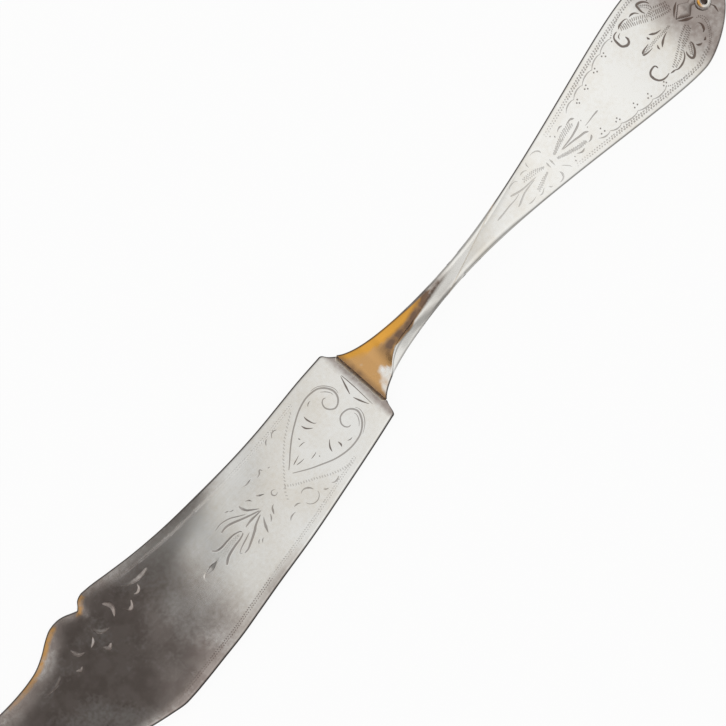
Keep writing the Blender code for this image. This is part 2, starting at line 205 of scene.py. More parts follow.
# Outlines of the blade: share of the length from the root line, share of the spine's height or edge's depth.
SHOULDER_SPINE = ((0, 0.47), (0.006, 0.513), (0.013, 0.574), (0.018, 0.639), (0.0215, 0.657),
                  (0.027, 0.66))
SPINE = ((0.027, 0.66), (0.084, 0.66), (0.14, 0.644), (0.195, 0.629), (0.25, 0.63), (0.36, 0.674),
         (0.47, 0.752), (0.526, 0.82), (0.581, 0.909), (0.619, 0.974), (0.639, 0.997))
NOTCH_FRONT = ((0.639, 0.997), (0.65, 0.978), (0.656, 0.952), (0.661, 0.909), (0.668, 0.865))
NOTCH_BACK = ((0.668, 0.865), (0.68, 0.913), (0.691, 0.958), (0.704, 0.991), (0.717, 1))
SPINE_TIP = ((0.717, 1), (0.73, 0.987), (0.746, 0.938), (0.774, 0.825), (0.802, 0.743), (0.829, 0.712),
             (0.857, 0.702), (0.884, 0.705), (0.917, 0.726), (0.95, 0.761), (0.972, 0.778), (0.988, 0.757),
             (0.996, 0.7), (1, 0.648))
SHOULDER_EDGE = ((0, 0.415), (0.003, 0.454), (0.0055, 0.511), (0.008, 0.557), (0.0105, 0.578),
                 (0.016, 0.587))
EDGE = ((0.016, 0.587), (0.057, 0.629), (0.167, 0.728), (0.277, 0.819), (0.388, 0.886), (0.443, 0.924),
        (0.498, 0.961), (0.553, 0.979), (0.608, 0.996), (0.642, 1), (0.664, 0.994), (0.691, 0.952),
        (0.73, 0.879), (0.774, 0.78), (0.818, 0.645), (0.862, 0.461), (0.906, 0.22), (0.95, -0.067),
        (0.98, -0.287), (0.993, -0.394), (1, -0.465))

# The front falls off to its sides more and more between these shares of the length.
SAG_SPAN = (0.34, 0.58)

# Where the blade is narrower than this, bevel and rounding shrink with it, down to a share.
NARROW_BLADE = 6
LEAST_BEVEL = 0.1

# The engraver's zero is on the axis, this far from the root line. All cuts are in millimetres from there:
# along the knife towards the handle's end, and across it towards the spine.
ENGRAVERS_ZERO = 22.85

# Each cut is its full width, the share of its length where it is fullest, and the points it runs through.
HEART = (
    (0.42, 0.7, (-42.5, -1.2), (-41, -0.1), (-40, 0.7), (-38, 2.1), (-36, 3.2), (-34, 4.1), (-32, 4.6),
     (-30.5, 4.6), (-29, 4.2), (-28, 3.2), (-27.55, 2), (-27.8, 0.9), (-28.6, 0.1), (-29.5, -0.1),
     (-30.3, 0.5), (-30.6, 1.3), (-30.3, 2.1), (-29.7, 2.4), (-29.2, 2.2)),
    (0.42, 0.7, (-42.5, -1.8), (-40, -3.5), (-38, -4.6), (-36, -5.6), (-34, -6.2), (-32, -6.4), (-30, -6.1),
     (-28.5, -5.2), (-27.6, -4), (-27.4, -3), (-28, -2), (-29, -1.6), (-30, -1.7), (-30.7, -2.4),
     (-30.8, -3.2), (-30.4, -3.8), (-29.8, -3.9)),
    (0.2, 0.5, (-30.4, 4.95), (-28.8, 4.5), (-27.7, 3.4), (-27.15, 2.1), (-27.4, 0.9)),
    (0.2, 0.5, (-30, -6.5), (-28.3, -5.6), (-27.2, -4.3), (-26.95, -3.1), (-27.4, -2.2)),
    (0.2, 0.5, (-29.6, 3.9), (-28.6, 3), (-28.05, 2), (-28.25, 1.2)),
    (0.2, 0.5, (-29.6, -5.4), (-28.5, -4.5), (-27.95, -3.4), (-28.3, -2.5)),
)
SPRIG = (
    (0.42, 0.3, (-35.5, 2.3), (-35.3, 1.4), (-34.7, 0.7), (-34.2, 0.4)),
    (0.42, 0.3, (-34, 3), (-34.1, 2.2), (-33.8, 1), (-33.2, 0.5)),
    (0.34, 0.4, (-37.4, 1.3), (-37.3, 0.7)),
    (0.42, 0.3, (-35.3, -4.6), (-35, -3.8), (-34.4, -3.1), (-33.8, -2.7)),
    (0.46, 0.6, (-33.4, -4), (-33.4, -4.8), (-33.7, -5.2)),
    (0.34, 0.4, (-37.3, -3.6), (-37.2, -3.2)),
    (0.24, 0.3, (-41.5, -1.2), (-40.2, -0.9), (-39, -0.6)),
    (0.24, 0.3, (-41, -1.5), (-40, -1.7), (-38.8, -1.8)),
    (0.22, 0.5, (-38.8, -2.7), (-37.4, -2.6), (-36.9, -2.3)),
    (0.24, 0.5, (-32.4, -5), (-31.8, -5.4), (-31, -5.4)),
    (0.22, 0.5, (-38.7, 0.2), (-37.4, 0.1), (-36.9, -0.2)),
    (0.22, 0.5, (-32.6, 3.3), (-31.9, 3.8), (-31.1, 3.8)),
)
NECK_MARK = (
    (0.4, 0.4, (-26.2, -0.5), (-25.6, 1), (-24.85, 2.9)),
    (0.4, 0.4, (-26.2, -1), (-25.8, -2.4), (-25.2, -4)),
    (0.2, 0.2, (-24.75, 2.9), (-24.72, 0), (-24.9, -4.6)),
)
SCROLLS = (
    (0.3, 0.5, (-46.3, -1.75), (-46.45, -1.4), (-46.8, -1.25), (-47.15, -1.4), (-47.3, -1.75),
     (-47.15, -2.1), (-46.8, -2.25), (-46.45, -2.1), (-46.3, -1.78)),
    (0.4, 0.6, (-44.1, -5.3), (-43.5, -5.05), (-42.8, -5.2), (-42.2, -5.8), (-42, -6.4)),
    (0.22, 0.5, (-41.7, -6.7), (-42, -7.5), (-42.8, -8), (-43.7, -7.9), (-44.4, -7.3), (-44.6, -6.5)),
    (0.32, 0.4, (-41, -7.4), (-40.6, -7.9), (-40.1, -8.1)),
    (0.34, 0.6, (-39.3, -7.6), (-38.9, -8.1), (-38.2, -8.2), (-37.5, -7.9)),
    (0.34, 0.4, (-46.5, -5.8), (-45.6, -5.9), (-45.1, -6.3)),
    (0.36, 0.4, (-48.6, -7), (-48, -6.6), (-47.2, -6.5), (-46.7, -6.6)),
    (0.32, 0.5, (-41.9, 4.3), (-41.4, 4.9), (-40.8, 5.1)),
    (0.34, 0.6, (-40.4, 4.4), (-39.8, 5), (-39.1, 5.1), (-38.6, 4.8)),
    (0.36, 0.6, (-49.6, 2.9), (-48.9, 2.6), (-47.6, 2.7)),
    (0.34, 0.5, (-47, 2), (-46.2, 2.1), (-45.6, 2.6), (-45.3, 2)),
    (0.3, 0.5, (-44.6, 1.8), (-44, 1.6)),
)
PALMETTE = (
    (0.62, 0.25, (-52.4, 1.3), (-52.4, 0.6), (-52.1, -0.2), (-51.6, -0.7), (-50.4, -1.7)),
    (0.46, 0.4, (-49.3, 0.3), (-48.8, -0.2), (-48, -0.7)),
    (0.34, 0.5, (-51.2, 1), (-50.6, 0.6), (-50.3, 0)),
    (0.6, 0.4, (-52.5, -5.5), (-52.1, -4.7), (-51.5, -3.7), (-50.9, -3)),
    (0.46, 0.4, (-49.6, -4.2), (-49.2, -3.6), (-48.8, -3.1), (-48.2, -2.9)),
    (0.34, 0.5, (-50.9, -4.6), (-50.3, -4.2), (-49.8, -3.5)),
    (0.56, 0.6, (-50.3, -2.05), (-51.4, -2), (-52.9, -1.9), (-54.4, -2)),
    (0.6, 0.75, (-50.6, -1.9), (-51.9, -1.4), (-53.5, -0.7), (-55.4, 0.2), (-56.6, 0.5), (-57.8, 0.4)),
    (0.34, 0.4, (-52.6, -0.6), (-53.8, 0.2), (-55, 1), (-56.6, 1.5), (-58.2, 1.4)),
    (0.6, 0.5, (-51, -2.4), (-52.8, -3), (-53.9, -3.6), (-55.3, -4.2), (-56.7, -4.7), (-57.7, -4.7)),
    (0.34, 0.6, (-57.8, -4.5), (-58.1, -4.1), (-57.2, -3.7), (-55.6, -3.3), (-54.4, -3)),
    (0.26, 0.5, (-54.3, 1.9), (-53.9, 1.6), (-53.3, 1.4)),
    (0.26, 0.5, (-55, 2.3), (-54.5, 2.1), (-54, 1.9)),
    (0.26, 0.5, (-54.4, -5.9), (-54, -5.5), (-53.5, -5.3)),
    (0.26, 0.5, (-55, -5.6), (-54.6, -5.2), (-54.1, -5)),
    (0.62, 0.2, (-61.1, -0.2), (-60.5, -0.9), (-59.4, -1.2), (-58, -1.2), (-56.6, -1.3), (-55.5, -1.7),
     (-55.2, -2.1)),
    (0.72, 0.15, (-61.2, -3.9), (-60.1, -3.2), (-59.1, -2.9), (-57.7, -2.7), (-56.4, -2.6), (-55.5, -2.4),
     (-55.2, -2.1)),
)
# Wide flat cuts that hold no dirt: two dishes by the notch with leaves round them, and a lozenge.
SOFT_SCROLLS = (
    (0.8, 0.5, (-61.6, -2.1), (-63.2, -2.2), (-64.6, -2.2)),
    (0.4, 0.5, (-65.3, -2.5), (-64.9, -2.2), (-64.5, -2)),
    (0.8, 0.65, (-75.4, 7.3), (-73.9, 6.4), (-72, 5.9), (-70, 6)),
    (0.5, 0.5, (-75, 4.7), (-74.3, 4.4), (-73.6, 4.7), (-73.3, 5.4)),
    (0.9, 0.6, (-79.9, 4.6), (-79.1, 5.7), (-79.1, 6.7), (-79.7, 7.7)),
    (0.6, 0.5, (-78, 4.6), (-77.4, 3.6), (-76.6, 3.6), (-75.9, 4.5)),
    (0.8, 0.45, (-84, 6.4), (-83.5, 5.1), (-82.9, 4.5), (-81.7, 4)),
    (0.8, 0.5, (-85, 2.8), (-84.4, 1.9), (-83.4, 2.2)),
    (0.5, 0.5, (-86.4, 4.1), (-85.4, 4.5), (-84.8, 5.2)),
    (0.8, 0.4, (-89, 6.5), (-88.8, 5.3), (-88.3, 4.7), (-87.5, 4.4)),
    (0.7, 0.5, (-91, 3.5), (-90.3, 3), (-89.6, 3.2)),
    (0.7, 0.6, (-97.8, 4.7), (-96.6, 4.5), (-95, 4.4), (-93.2, 4.9)),
)
LOWER_SPRAY = (
    (0.26, 0.2, (24.4, 2.1), (24.4, 2.6), (24.1, 3), (23.7, 3.2), (23, 3.3), (22.5, 3.1)),
    (0.22, 0.4, (21.6, 3.1), (21.3, 2.7), (21.2, 2)),
    (0.22, 0.6, (20.9, 1.9), (20.3, 2.3), (19.6, 2.4), (19.1, 2.2)),
    (0.22, 0.6, (18.4, 1.7), (18, 2.3), (17.3, 2.4), (16.7, 2.3), (16.3, 1.8)),
    (0.34, 0.15, (15.6, 1.3), (16.3, 1), (17.5, 0.6), (18.7, 0.4), (21, 0.2)),
    (0.34, 0.15, (15.2, -0.9), (15.8, -0.8), (16.6, -0.5), (17.9, -0.1), (20.5, 0.1)),
    (0.3, 0.15, (11.2, 0.2), (12.5, 0.2), (14.3, 0.3), (15.9, 0.3), (17, 0.5)),
    (0.22, 0.3, (16.6, -1.8), (17.2, -2), (18.1, -2), (18.7, -1.8)),
    (0.22, 0.3, (18.9, -2.2), (19.5, -2.4), (20.2, -2.1), (20.8, -1.8)),
    (0.36, 0.3, (24.1, -2), (24.2, -2.6), (23.9, -3.2), (23.3, -3.4), (22.6, -3.3)),
    (0.22, 0.5, (21.1, -2.3), (21.3, -2.7), (21.7, -2.9)),
    (0.18, 0.5, (24.9, -1.5), (25.5, -2.1), (26, -2.8), (26.1, -3.4)),
    (0.28, 0.4, (24.5, 0.6), (24.5, -0.1), (24.4, -1)),
    (0.28, 0.4, (23.8, 0.6), (23.7, 0), (23.7, -0.7)),
)
UPPER_SPRAY = (
    (0.38, 0.15, (32.6, 1), (31.8, 0.6), (30.6, 0.3), (29.3, 0.1), (27, 0)),
    (0.38, 0.15, (32.4, -1.4), (31.8, -1), (30.8, -0.8), (29.5, -0.5), (27.1, -0.1)),
    (0.28, 0.5, (32.7, -0.6), (32.8, -0.9)),
    (0.28, 0.5, (32.9, 1), (32.8, 0.6)),
    (0.28, 0.1, (36.1, -0.2), (34.9, -0.2), (33.5, -0.3), (32.4, -0.3)),
    (0.36, 0.2, (32.4, 1.8), (31.9, 2.2), (31.1, 2.2), (30.5, 2.1)),
    (0.3, 0.3, (30.2, 2.5), (29.7, 2.7), (29.1, 2.6), (28.7, 2.3)),
    (0.28, 0.5, (27.3, 2.9), (27.6, 2.8)),
    (0.3, 0.5, (28, 2.5), (27.9, 2)),
    (0.38, 0.3, (32.2, -1.9), (32.1, -2.2), (31.6, -2.5), (30.9, -2.5)),
    (0.34, 0.3, (29.9, -2.6), (29.3, -2.8), (28.7, -2.6), (28.2, -2.2)),
    (0.28, 0.5, (27.7, -2.2), (27.7, -2.6)),
    (0.28, 0.5, (27.3, -2.7), (27.3, -3.2)),
)
END_SPRAY = (
    (0.46, 0.25, (48.3, 4.5), (48.3, 3.9), (48.1, 3.4), (47.6, 3.2), (47.1, 3.4), (46.7, 3.8), (46.6, 4.5),
     (46.7, 5.3), (47, 5.8), (47.5, 6), (48.1, 6)),
    (0.22, 0.4, (47.3, 4.7), (47.5, 5.2), (47.9, 5.4), (48.3, 5.5)),
    (0.38, 0.25, (48.4, 6), (48.9, 6.3), (49.5, 6.4), (50.2, 6.4), (50.7, 6.2), (50.8, 5.8)),
    (0.36, 0.35, (51.1, 6.1), (51.8, 6.1), (52.4, 5.8), (52.8, 5.1)),
    (0.48, 0.5, (55.2, 5), (55, 5.7), (54.4, 6.3), (53.8, 6.5), (53.5, 6.4), (53.4, 5.9), (53.3, 5.2),
     (53.5, 4.4)),
    (0.42, 0.5, (55.3, 5.5), (55.4, 5.9), (55.9, 6.2), (56.3, 6.2)),
    (0.42, 0.5, (56.6, 6.1), (57, 6.2), (57.4, 5.9)),
    (0.5, 0.6, (58.2, 3.4), (58.5, 3.9), (58.4, 4.5), (58.1, 5), (57.5, 5.2)),
    (0.4, 0.4, (48, -3.2), (47.9, -2.5), (47.3, -2.4), (46.6, -2.6), (46.2, -3.1), (46.2, -3.8),
     (46.5, -4.5), (47, -4.9), (47.8, -5.1), (48.7, -5)),
    (0.3, 0.5, (48.6, -5.2), (49.3, -5.35), (50, -5.5)),
    (0.36, 0.4, (49.5, -5.4), (50.2, -5.7), (51, -5.7), (51.8, -5.5), (52.5, -5.1), (52.9, -4.6),
     (53.2, -4.2)),
    (0.5, 0.45, (53.3, -4.7), (53, -5.3), (53, -6), (53.2, -6.3), (53.6, -6.3), (54.2, -5.9),
     (54.7, -5.3), (55, -4.7), (55, -4.1)),
    (0.42, 0.5, (55.3, -5.1), (55.4, -5.5), (55.9, -5.8), (56.3, -5.8)),
    (0.42, 0.5, (56.6, -5.7), (57, -5.8), (57.4, -5.5)),
    (0.5, 0.6, (58.2, -3), (58.5, -3.5), (58.4, -4.1), (58.1, -4.6), (57.5, -4.8)),
    (0.38, 0.15, (47.9, 0.3), (48.6, 0.6), (49.5, 0.7), (50.2, 0.8)),
    (0.34, 0.1, (47.8, 0.2), (48.6, -0.1), (49.4, -0.2), (50.2, -0.2)),
    (0.42, 0.3, (51.1, 1.8), (51.6, 1.4), (52.2, 1), (53.3, 0.7)),
    (0.36, 0.5, (50.7, 1.8), (50.6, 1.4), (50.8, 1)),
    (0.44, 0.7, (53.7, -0.2), (52.8, -0.4), (51.9, -0.8), (51, -1.4)),
    (0.34, 0.5, (50.9, -0.4), (50.6, -0.9), (50.6, -1.4)),
    (0.36, 0.5, (62, -2.6), (62.3, -3.2), (62.2, -3.9), (61.9, -4.6)),
    (0.36, 0.5, (62, 2.6), (62.3, 3.2), (62.2, 3.9), (61.9, 4.6)),
    (0.46, 0.4, (58.6, 1.95), (57.6, 1.45), (56.7, 0.85), (56.1, 0.3)),
    (0.56, 0.4, (58.6, -1.95), (57.6, -1.45), (56.7, -0.85), (56.1, -0.3)),
)

# Scallops hang between these points.
SCALLOPS = (
    ((32.3, 3.4), (34.8, 3.9), (37.5, 4.4), (40.5, 4.9), (43.4, 5.6), (46.5, 6)),
    ((32.7, -3.3), (34.9, -3.9), (37.1, -4.5), (40.5, -5.2), (43.6, -5.8), (46.6, -6.1)),
)
DOTS = (
    (46.2, 5.6), (43.8, 5.3), (43.2, 5.2), (43.6, 4.7), (40.9, 4.7), (40.3, 4.4), (40.8, 4.1), (37.8, 4),
    (37.2, 3.7), (37.6, 3.4), (35.1, 3.5), (34.6, 3.2), (34.9, 2.9), (46.9, -5.3), (47.1, -5.7),
    (46.4, -5.7), (43.6, -4.6), (43.7, -5.3), (43.1, -5.1), (40.8, -3.9), (40.4, -4.5), (41.1, -4.5),
    (36.6, -3.7), (37.1, -3.4), (37.3, -3.9), (33.5, -3.2), (34, -2.5), (34.2, -3.3),
)

# Fields of marks: how much dirt they hold, the rows in each, the pitch and the length of a mark, the
# degrees it leans from the rows, and the two lines that the rows lie between.
HANDLE_HATCH = (
    (0.3, 3, 0.38, 0.34, 75, ((19, 1), (20.5, 0.6), (21.8, 0.4), (23, 0.1)),
     ((19.2, 1.7), (20.6, 1.6), (21.8, 1.2), (23, 0.3))),
    (0.3, 3, 0.38, 0.34, 75, ((19.6, -1.2), (20.6, -0.9), (21.7, -0.7), (22.8, -0.6)),
     ((19.5, -1.9), (20.7, -1.6), (22.6, -0.8))),
    (0.35, 4, 0.4, 0.38, 70, ((25.8, 0.3), (27.9, 0.7), (29.5, 1), (31.3, 1.2)),
     ((25.6, 0.6), (27.4, 1.4), (29.3, 2.1), (31.4, 2.1))),
    (0.35, 4, 0.4, 0.38, -70, ((25.6, -0.3), (27.5, -0.9), (29.3, -1.5), (31, -1.8)),
     ((25.7, -0.7), (27.4, -1.5), (29.1, -2.2), (30.9, -2.4))),
    (0.62, 2, 0.36, 0.9, 90, ((48.7, 5.7), (49.5, 5.1), (50.5, 4.6), (51.9, 3.7), (53.1, 3)),
     ((49.1, 6), (50.2, 5.9), (51.3, 5.7), (52.4, 5), (53.3, 4.3))),
    (0.66, 4, 0.36, 0.55, 85, ((53.4, 2.8), (54.5, 2.2), (56.2, 1.6), (57, 1.6)),
     ((53.7, 4.3), (54.7, 4.6), (55.8, 4), (57.2, 3.4))),
    (0.6, 2, 0.38, 0.62, 67, ((49.8, -4.6), (51.8, -3.6), (53.4, -2.8)),
     ((50, -5.4), (51.4, -5.2), (52.6, -4.5), (53.6, -4))),
    (0.66, 3, 0.38, 0.6, 67, ((53.6, -2.6), (55.2, -1.9), (56.7, -1.5)),
     ((53.9, -4.2), (55.2, -3.7), (56.8, -2.9))),
    (0.5, 2, 0.36, 0.3, 80, ((48.3, 0.32), (49.7, 0.55), (51.2, 0.55), (53, 0.4), (54.8, 0.3)),
     ((48.3, 0.18), (49.6, -0.02), (51.2, 0), (53.1, -0.1), (54.7, 0))),
    (0.6, 3, 0.34, 0.3, 80, ((53.6, -6), (54.5, -5.1), (55, -4.2)),
     ((53.4, -5.5), (53.9, -4.8), (54.3, -4.2))),
    (0.6, 3, 0.34, 0.3, 80, ((53.8, 6.2), (54.8, 5.4), (55.2, 4.5)),
     ((53.7, 5.7), (54.2, 5), (54.5, 4.4))),
)
BLADE_HATCH = (
    (0.3, 1, 0.6, 0.72, 41,
     ((-45.2, -2.4), (-43.5, -0.6), (-41.5, 1.3), (-39, 3.2), (-36.5, 4.6), (-34.8, 5.35)),
     ((-44.9, -2.9), (-43.1, -1.1), (-41.1, 0.8), (-38.6, 2.7), (-36.1, 4.05), (-34.5, 4.9))),
    (0.3, 1, 0.6, 0.6, 60, ((-45.2, -2.6), (-46.2, -4.2)), ((-45.2, -2.6), (-46.2, -4.2))),
    (0.3, 1, 0.46, 0.66, 97,
     ((-45, -2.2), (-43.2, -3.6), (-40.8, -5), (-39, -6.2), (-37, -7.3), (-34, -8.2)),
     ((-44.6, -2.6), (-42.8, -4.1), (-40.5, -5.5), (-38.7, -6.7), (-36.7, -7.75), (-34.4, -8.5))),
    (0.4, 3, 0.4, 0.22, 70, ((-60.2, -1.5), (-58.2, -1.5), (-56, -1.75)),
     ((-60.2, -2.7), (-58.2, -2.4), (-56, -2.15))),
)

# Zigzag borders keep this far inside the edge they follow, between two places along the knife. Each is
# its pitch, its height, and the widths of the cut one way and of the cut back.
BLADE_BORDER = 1.72
SPINE_BORDER_SPAN = (-76.0, -34.0)
EDGE_BORDER_SPAN = (-86.0, -33.5)
BLADE_DARKENS = -58
BLADE_ZIGZAG = (0.46, 0.72, 0.20, 0.16)
HANDLE_BORDER = 1.22
HANDLE_BORDER_SPAN = (27.0, 53.5)
HANDLE_BORDER_END = ((54.6, 7.5), (55.5, 7.3), (56.4, 7.1))
HANDLE_ZIGZAG = (0.52, 0.74, 0.28, 0.20)
# Fine rows of marks at the handle's end: a double one along an arc, and one inside the zigzag.
STIPPLED_ARC = ((56.9, 6.9), (57.7, 6.4), (58.7, 5.4), (59.4, 4.4), (59.6, 3.5), (59.4, 2.7), (58.8, 2.2))
STIPPLED_END = ((46.6, 6.1), (47.4, 6.7), (48.4, 7.0), (49.4, 7.3), (50.6, 7.5))
STIPPLE_APART = 0.4
FINE_ARC = (0.55, 1, 0.34, 0.26, 70)
FINE_ROW = (0.6, 1, 0.36, 0.30, 70)

# A scallop's bow: shares of the way between its two points, and how far it bulges there. Its cut: dirt,
# width and the share of its length where it is fullest.
SCALLOP_BOW = ((-0.1, -0.12), (0.0, 0.04), (0.2, 0.3), (0.5, 0.42), (0.8, 0.3), (1.0, 0.04), (1.1, -0.12))
SCALLOP_SHIFT = -0.1
SCALLOP_CUT = (0.5, 0.26, 0.5)
# A dot is a short mark: its dirt, its angle, its length and its width.
DOT_DIRT = 0.75
DOT_SHAPE = (0.8, 0.34, 0.30)

# How much dirt each motif holds, and how much wider than drawn it is cut. A motif without dirt is dished.
BLADE_MOTIFS = ((0.6, 0.85, HEART), (0.9, 0.8, SPRIG), (0.9, 0.9, NECK_MARK), (0.55, 0.95, SCROLLS),
                (0.6, 0.9, PALMETTE), (0, 1.1, SOFT_SCROLLS))
HANDLE_MOTIFS = ((0.35, 1.05, LOWER_SPRAY), (0.55, 1.05, UPPER_SPRAY), (0.9, 1.15, END_SPRAY))
# Dirt in a zigzag, and the marks it takes to its full width.
BRIGHT_ZIGZAG = (0.3, 1)
DARK_ZIGZAG = (0.8, 50)
WORN_ZIGZAG = (0.55, 40)
BLADE_SEED = 11
HANDLE_SEED = 5

# Points along a stroke are this far apart. It thins by a power that falls with its length, within bounds.
STROKE_STEP = 0.22
TAPER = 2.2
TAPER_SHARES = (0.22, 0.75)
# Marks of the hand-held graver: width, spread of place and angle, and half widths along a mark.
HATCH_WIDTH = 0.2
PLACE_SPREAD = 0.015
ANGLE_SPREAD = 0.1
PLAIN_MARK = ((-1, -0.5, 0.5, 1), (0, 1, 1, 0))
WAISTED_MARK = ((-1, -0.68, 0, 0.68, 1), (0, 1, 0.35, 1, 0))
# A zigzag's marks just miss each other, and the first ones start at a share of the full width.
ZIGZAG_REACH = 0.92
ZIGZAG_START = 0.35

# Depth that no cut goes below: a wider one is cut with the graver laid flatter. Traces are no cut.
DEEPEST_CUT = 0.11
SHALLOWEST_CUT = 0.008
# A cut's floor is a share of its width. A dish has one long facet, and past a share of its half width a
# steeper wall that holds a little dirt.
FLOOR_SHARE = 0.55
FACET_SLOPE = 0.08
WALL_TIMES = 9
WALL_SHARE = -0.8
WALL_DIRT = 0.7
WALL_DIRT_SHARE = -0.7

# Lines of points along a cut and a dish, as shares of the half width, the room that a cut needs in a face,
# and the room round it without other points.
CUT_RAILS = (-1, -FLOOR_SHARE, FLOOR_SHARE, 1)
DISH_RAILS = (-1.15, -1, -0.8, -0.4, 0, 0.5, 1, 1.15)
CUT_ROOM = 0.08
CUT_CLEARANCE = 0.1
# Rows of points inside a face's rim, their pitch and slack, and the strip that the grid leaves to them.
RIM_ROWS = (0.3, 0.65, 1.05)
RIM_PITCH = 0.5
RIM_SLACK = 0.1
RIM_STRIP = 1.25
# Points closer than this are one, and smaller widths count as this.
MERGED = 1e-5
TINY = 1e-6

# Flat strip between an eased corner and an engraved face, so that the face is level at its rim.
FLAT_MARGIN = 0.12

# Pulls of the curves of half the width, as shares: of neck, widening handle and rounded end.
FLARE_PULLS = (0.12, 0.30, 0.55)
BODY_PULLS = (0.34, 0.17)
END_PULLS = (0.28, 0.54)
CURVE_POINTS = 200
# Shares of the flare's length: where the neck is thickest and starts to thin, and where its crown and the
# rounding of its corners grow and go again.
THICKEST_AT = 0.6
THINS_AT = 0.85
CROWN_SPAN = (0.34, 0.9, 1.15, 2.1)
ROUND_SPAN = (0.3, 0.95, 1.2, 1.75)
CROWN_POWER = 5
# Points round a corner of neck and handle, and along a side.
CORNER_STEPS = 6
SIDE_POINTS = 9
# Dark sides, partly tarnish and partly painted shade: how it fades inwards from the rim, how it grows
# upwards, and its share at the bottom.
SIDE_FADE = (0.1, 0.36)
SIDE_RISE = (0.1, 0.7)
SIDE_LEAST = 0.4

# Half the scarf's gap as a share of its film, and the clearance of neck and handle to the solder.
SCARF_HALF = 0.6
SCARF_CLEARANCE = 0.004
# How far the neck is drawn past the waist before the scarf cuts it, and the pitch of its rings.
NECK_PAST = 17
NECK_STEP = 0.35
# Folds beyond this angle stay sharp.
FOLD = 30


def rising(x, start, end):
    """A smooth step from 0 to 1."""
    q = np.clip((np.asarray(x, float) - start) / (end - start), 0, 1)
    return q * q * (3 - 2 * q)


def falling(x, start, end):
    return 1 - rising(x, start, end)


def curve_through(points):
    """A smooth function through the points: cubic pieces that share their slopes."""
    xs, ys = np.array(points, float).T
    step = np.diff(xs)
    rise = np.diff(ys) / step
    inner = (rise[:-1] * step[1:] + rise[1:] * step[:-1]) / (step[:-1] + step[1:])
    slopes = np.concatenate((rise[:1], inner, rise[-1:]))

    def value(x):
        i = np.clip(np.searchsorted(xs, x) - 1, 0, len(rise) - 1)
        q = (x - xs[i]) / step[i]
        return (ys[i] * (1 + 2 * q) * (1 - q) ** 2 + ys[i + 1] * q * q * (3 - 2 * q)
                + step[i] * q * (1 - q) * (slopes[i] * (1 - q) - slopes[i + 1] * q))

    return value


def joined(*pieces):
    """One function from outline pieces that follow each other, with a corner where two pieces meet."""
    parts = [(piece[-1][0], curve_through(piece)) for piece in pieces]

    def value(x):
        x = np.asarray(x, float)
        found = parts[-1][1](x)
        for end, part in reversed(parts[:-1]):
            found = np.where(x <= end, part(x), found)
        return found

    return value


spine_share = joined(SHOULDER_SPINE, SPINE, NOTCH_FRONT, NOTCH_BACK, SPINE_TIP)
edge_share = joined(SHOULDER_EDGE, EDGE)


def bezier(a, b, c, d, count):
    t = np.linspace(0, 1, count)[:, None]
    a, b, c, d = (np.array(p, float) for p in (a, b, c, d))
    return (1 - t) ** 3 * a + 3 * (1 - t) ** 2 * t * b + 3 * (1 - t) * t * t * c + t ** 3 * d


def shank_length():
    return size.flare_length + size.spread_length + size.end_length


def half_width(x):
    """Half the width of neck and handle: flare, narrow waist, widening handle and rounded end."""
    start, waist_at, spread, end = size.fit_gap, size.flare_length, size.spread_length, size.end_length
    root, waist, wide = size.root_width / 2, size.neck_width / 2, size.handle_width / 2
    reach, widest_at, last = waist_at - start, waist_at + spread, waist_at + spread + end
    lead, drop, settle = FLARE_PULLS
    flare = bezier((start, root), (start + lead * reach, waist + drop * (root - waist)),
                   (start + settle * reach, waist), (waist_at, waist), CURVE_POINTS)
    lead, settle = BODY_PULLS
    body = bezier((waist_at, waist), (waist_at + lead * spread, waist),
                  (widest_at - settle * spread, wide), (widest_at, wide), CURVE_POINTS)
    lead, blunt = END_PULLS
    tip = bezier((widest_at, wide), (widest_at + lead * end, wide), (last, blunt * wide), (last, 0),
                 2 * CURVE_POINTS)
    line = np.concatenate((flare, body[1:], tip[1:]))
    return np.interp(x, line[:, 0], line[:, 1])


def half_thickness(x):
    """Half the thickness of neck and handle, without the rounding of the end."""
    waist_at, thin_at = size.flare_length, size.flare_length + size.thin_past
    thickened = rising(x, size.flat_root, THICKEST_AT * waist_at)
    grown = size.root_thick + (size.neck_thick - size.root_thick) * thickened
    return (grown + (size.handle_thick - size.neck_thick) * rising(x, THINS_AT * waist_at, thin_at)) / 2


def middle(x):
    """Height of the middle of the section: flat root, arch, and down on the table at the handle's end."""
    top = size.flare_length + size.arch_past
    fall = 1 - ((x - top) / (shank_length() - top)) ** 2
    under = size.arch_rise * np.where(x < top, rising(x, size.flat_root, top), fall)
    return under + half_thickness(x)


def rounded_half(x):
    """Half thickness with the handle's end rounded over."""
    soft = size.edge_round
    near = np.clip(soft - (shank_length() - x), 0, soft)
    return half_thickness(x) - soft + np.sqrt(soft ** 2 - near ** 2)


# How the turn of the neck grows: share of the way from the flat root to its end, share of the turn.
TWIST = ((0, 0), (0.04, 0.04), (0.1, 0.16), (0.17, 0.29), (0.38, 0.4), (0.5, 0.5), (0.74, 0.7), (1, 1))


def twist(x):
    """Angle that the square section has turned: none at the root, all past the waist."""
    end = size.flare_length + size.twist_past
    q = np.clip((x - size.flat_root) / (end - size.flat_root), 0, 1)
    return size.angle("twist_angle") * curve_through(TWIST)(q)


def swelling(x, span):
    """What grows and goes again over four shares of the flare's length: from none to full, and back."""
    none, full, still, gone = (share * size.flare_length for share in span)
    return rising(x, none, full) * falling(x, still, gone)


def crowned(x, y, flat):
    """Height over the section's middle, from its height without the crown. The waist is a crowned bar."""
    share = np.abs(y / half_width(x)).clip(0, 1)
    bar = np.sign(flat) * rounded_half(x) * (1 - share ** CROWN_POWER) ** (1 / CROWN_POWER)
    return flat + swelling(x, CROWN_SPAN) * (bar - flat)


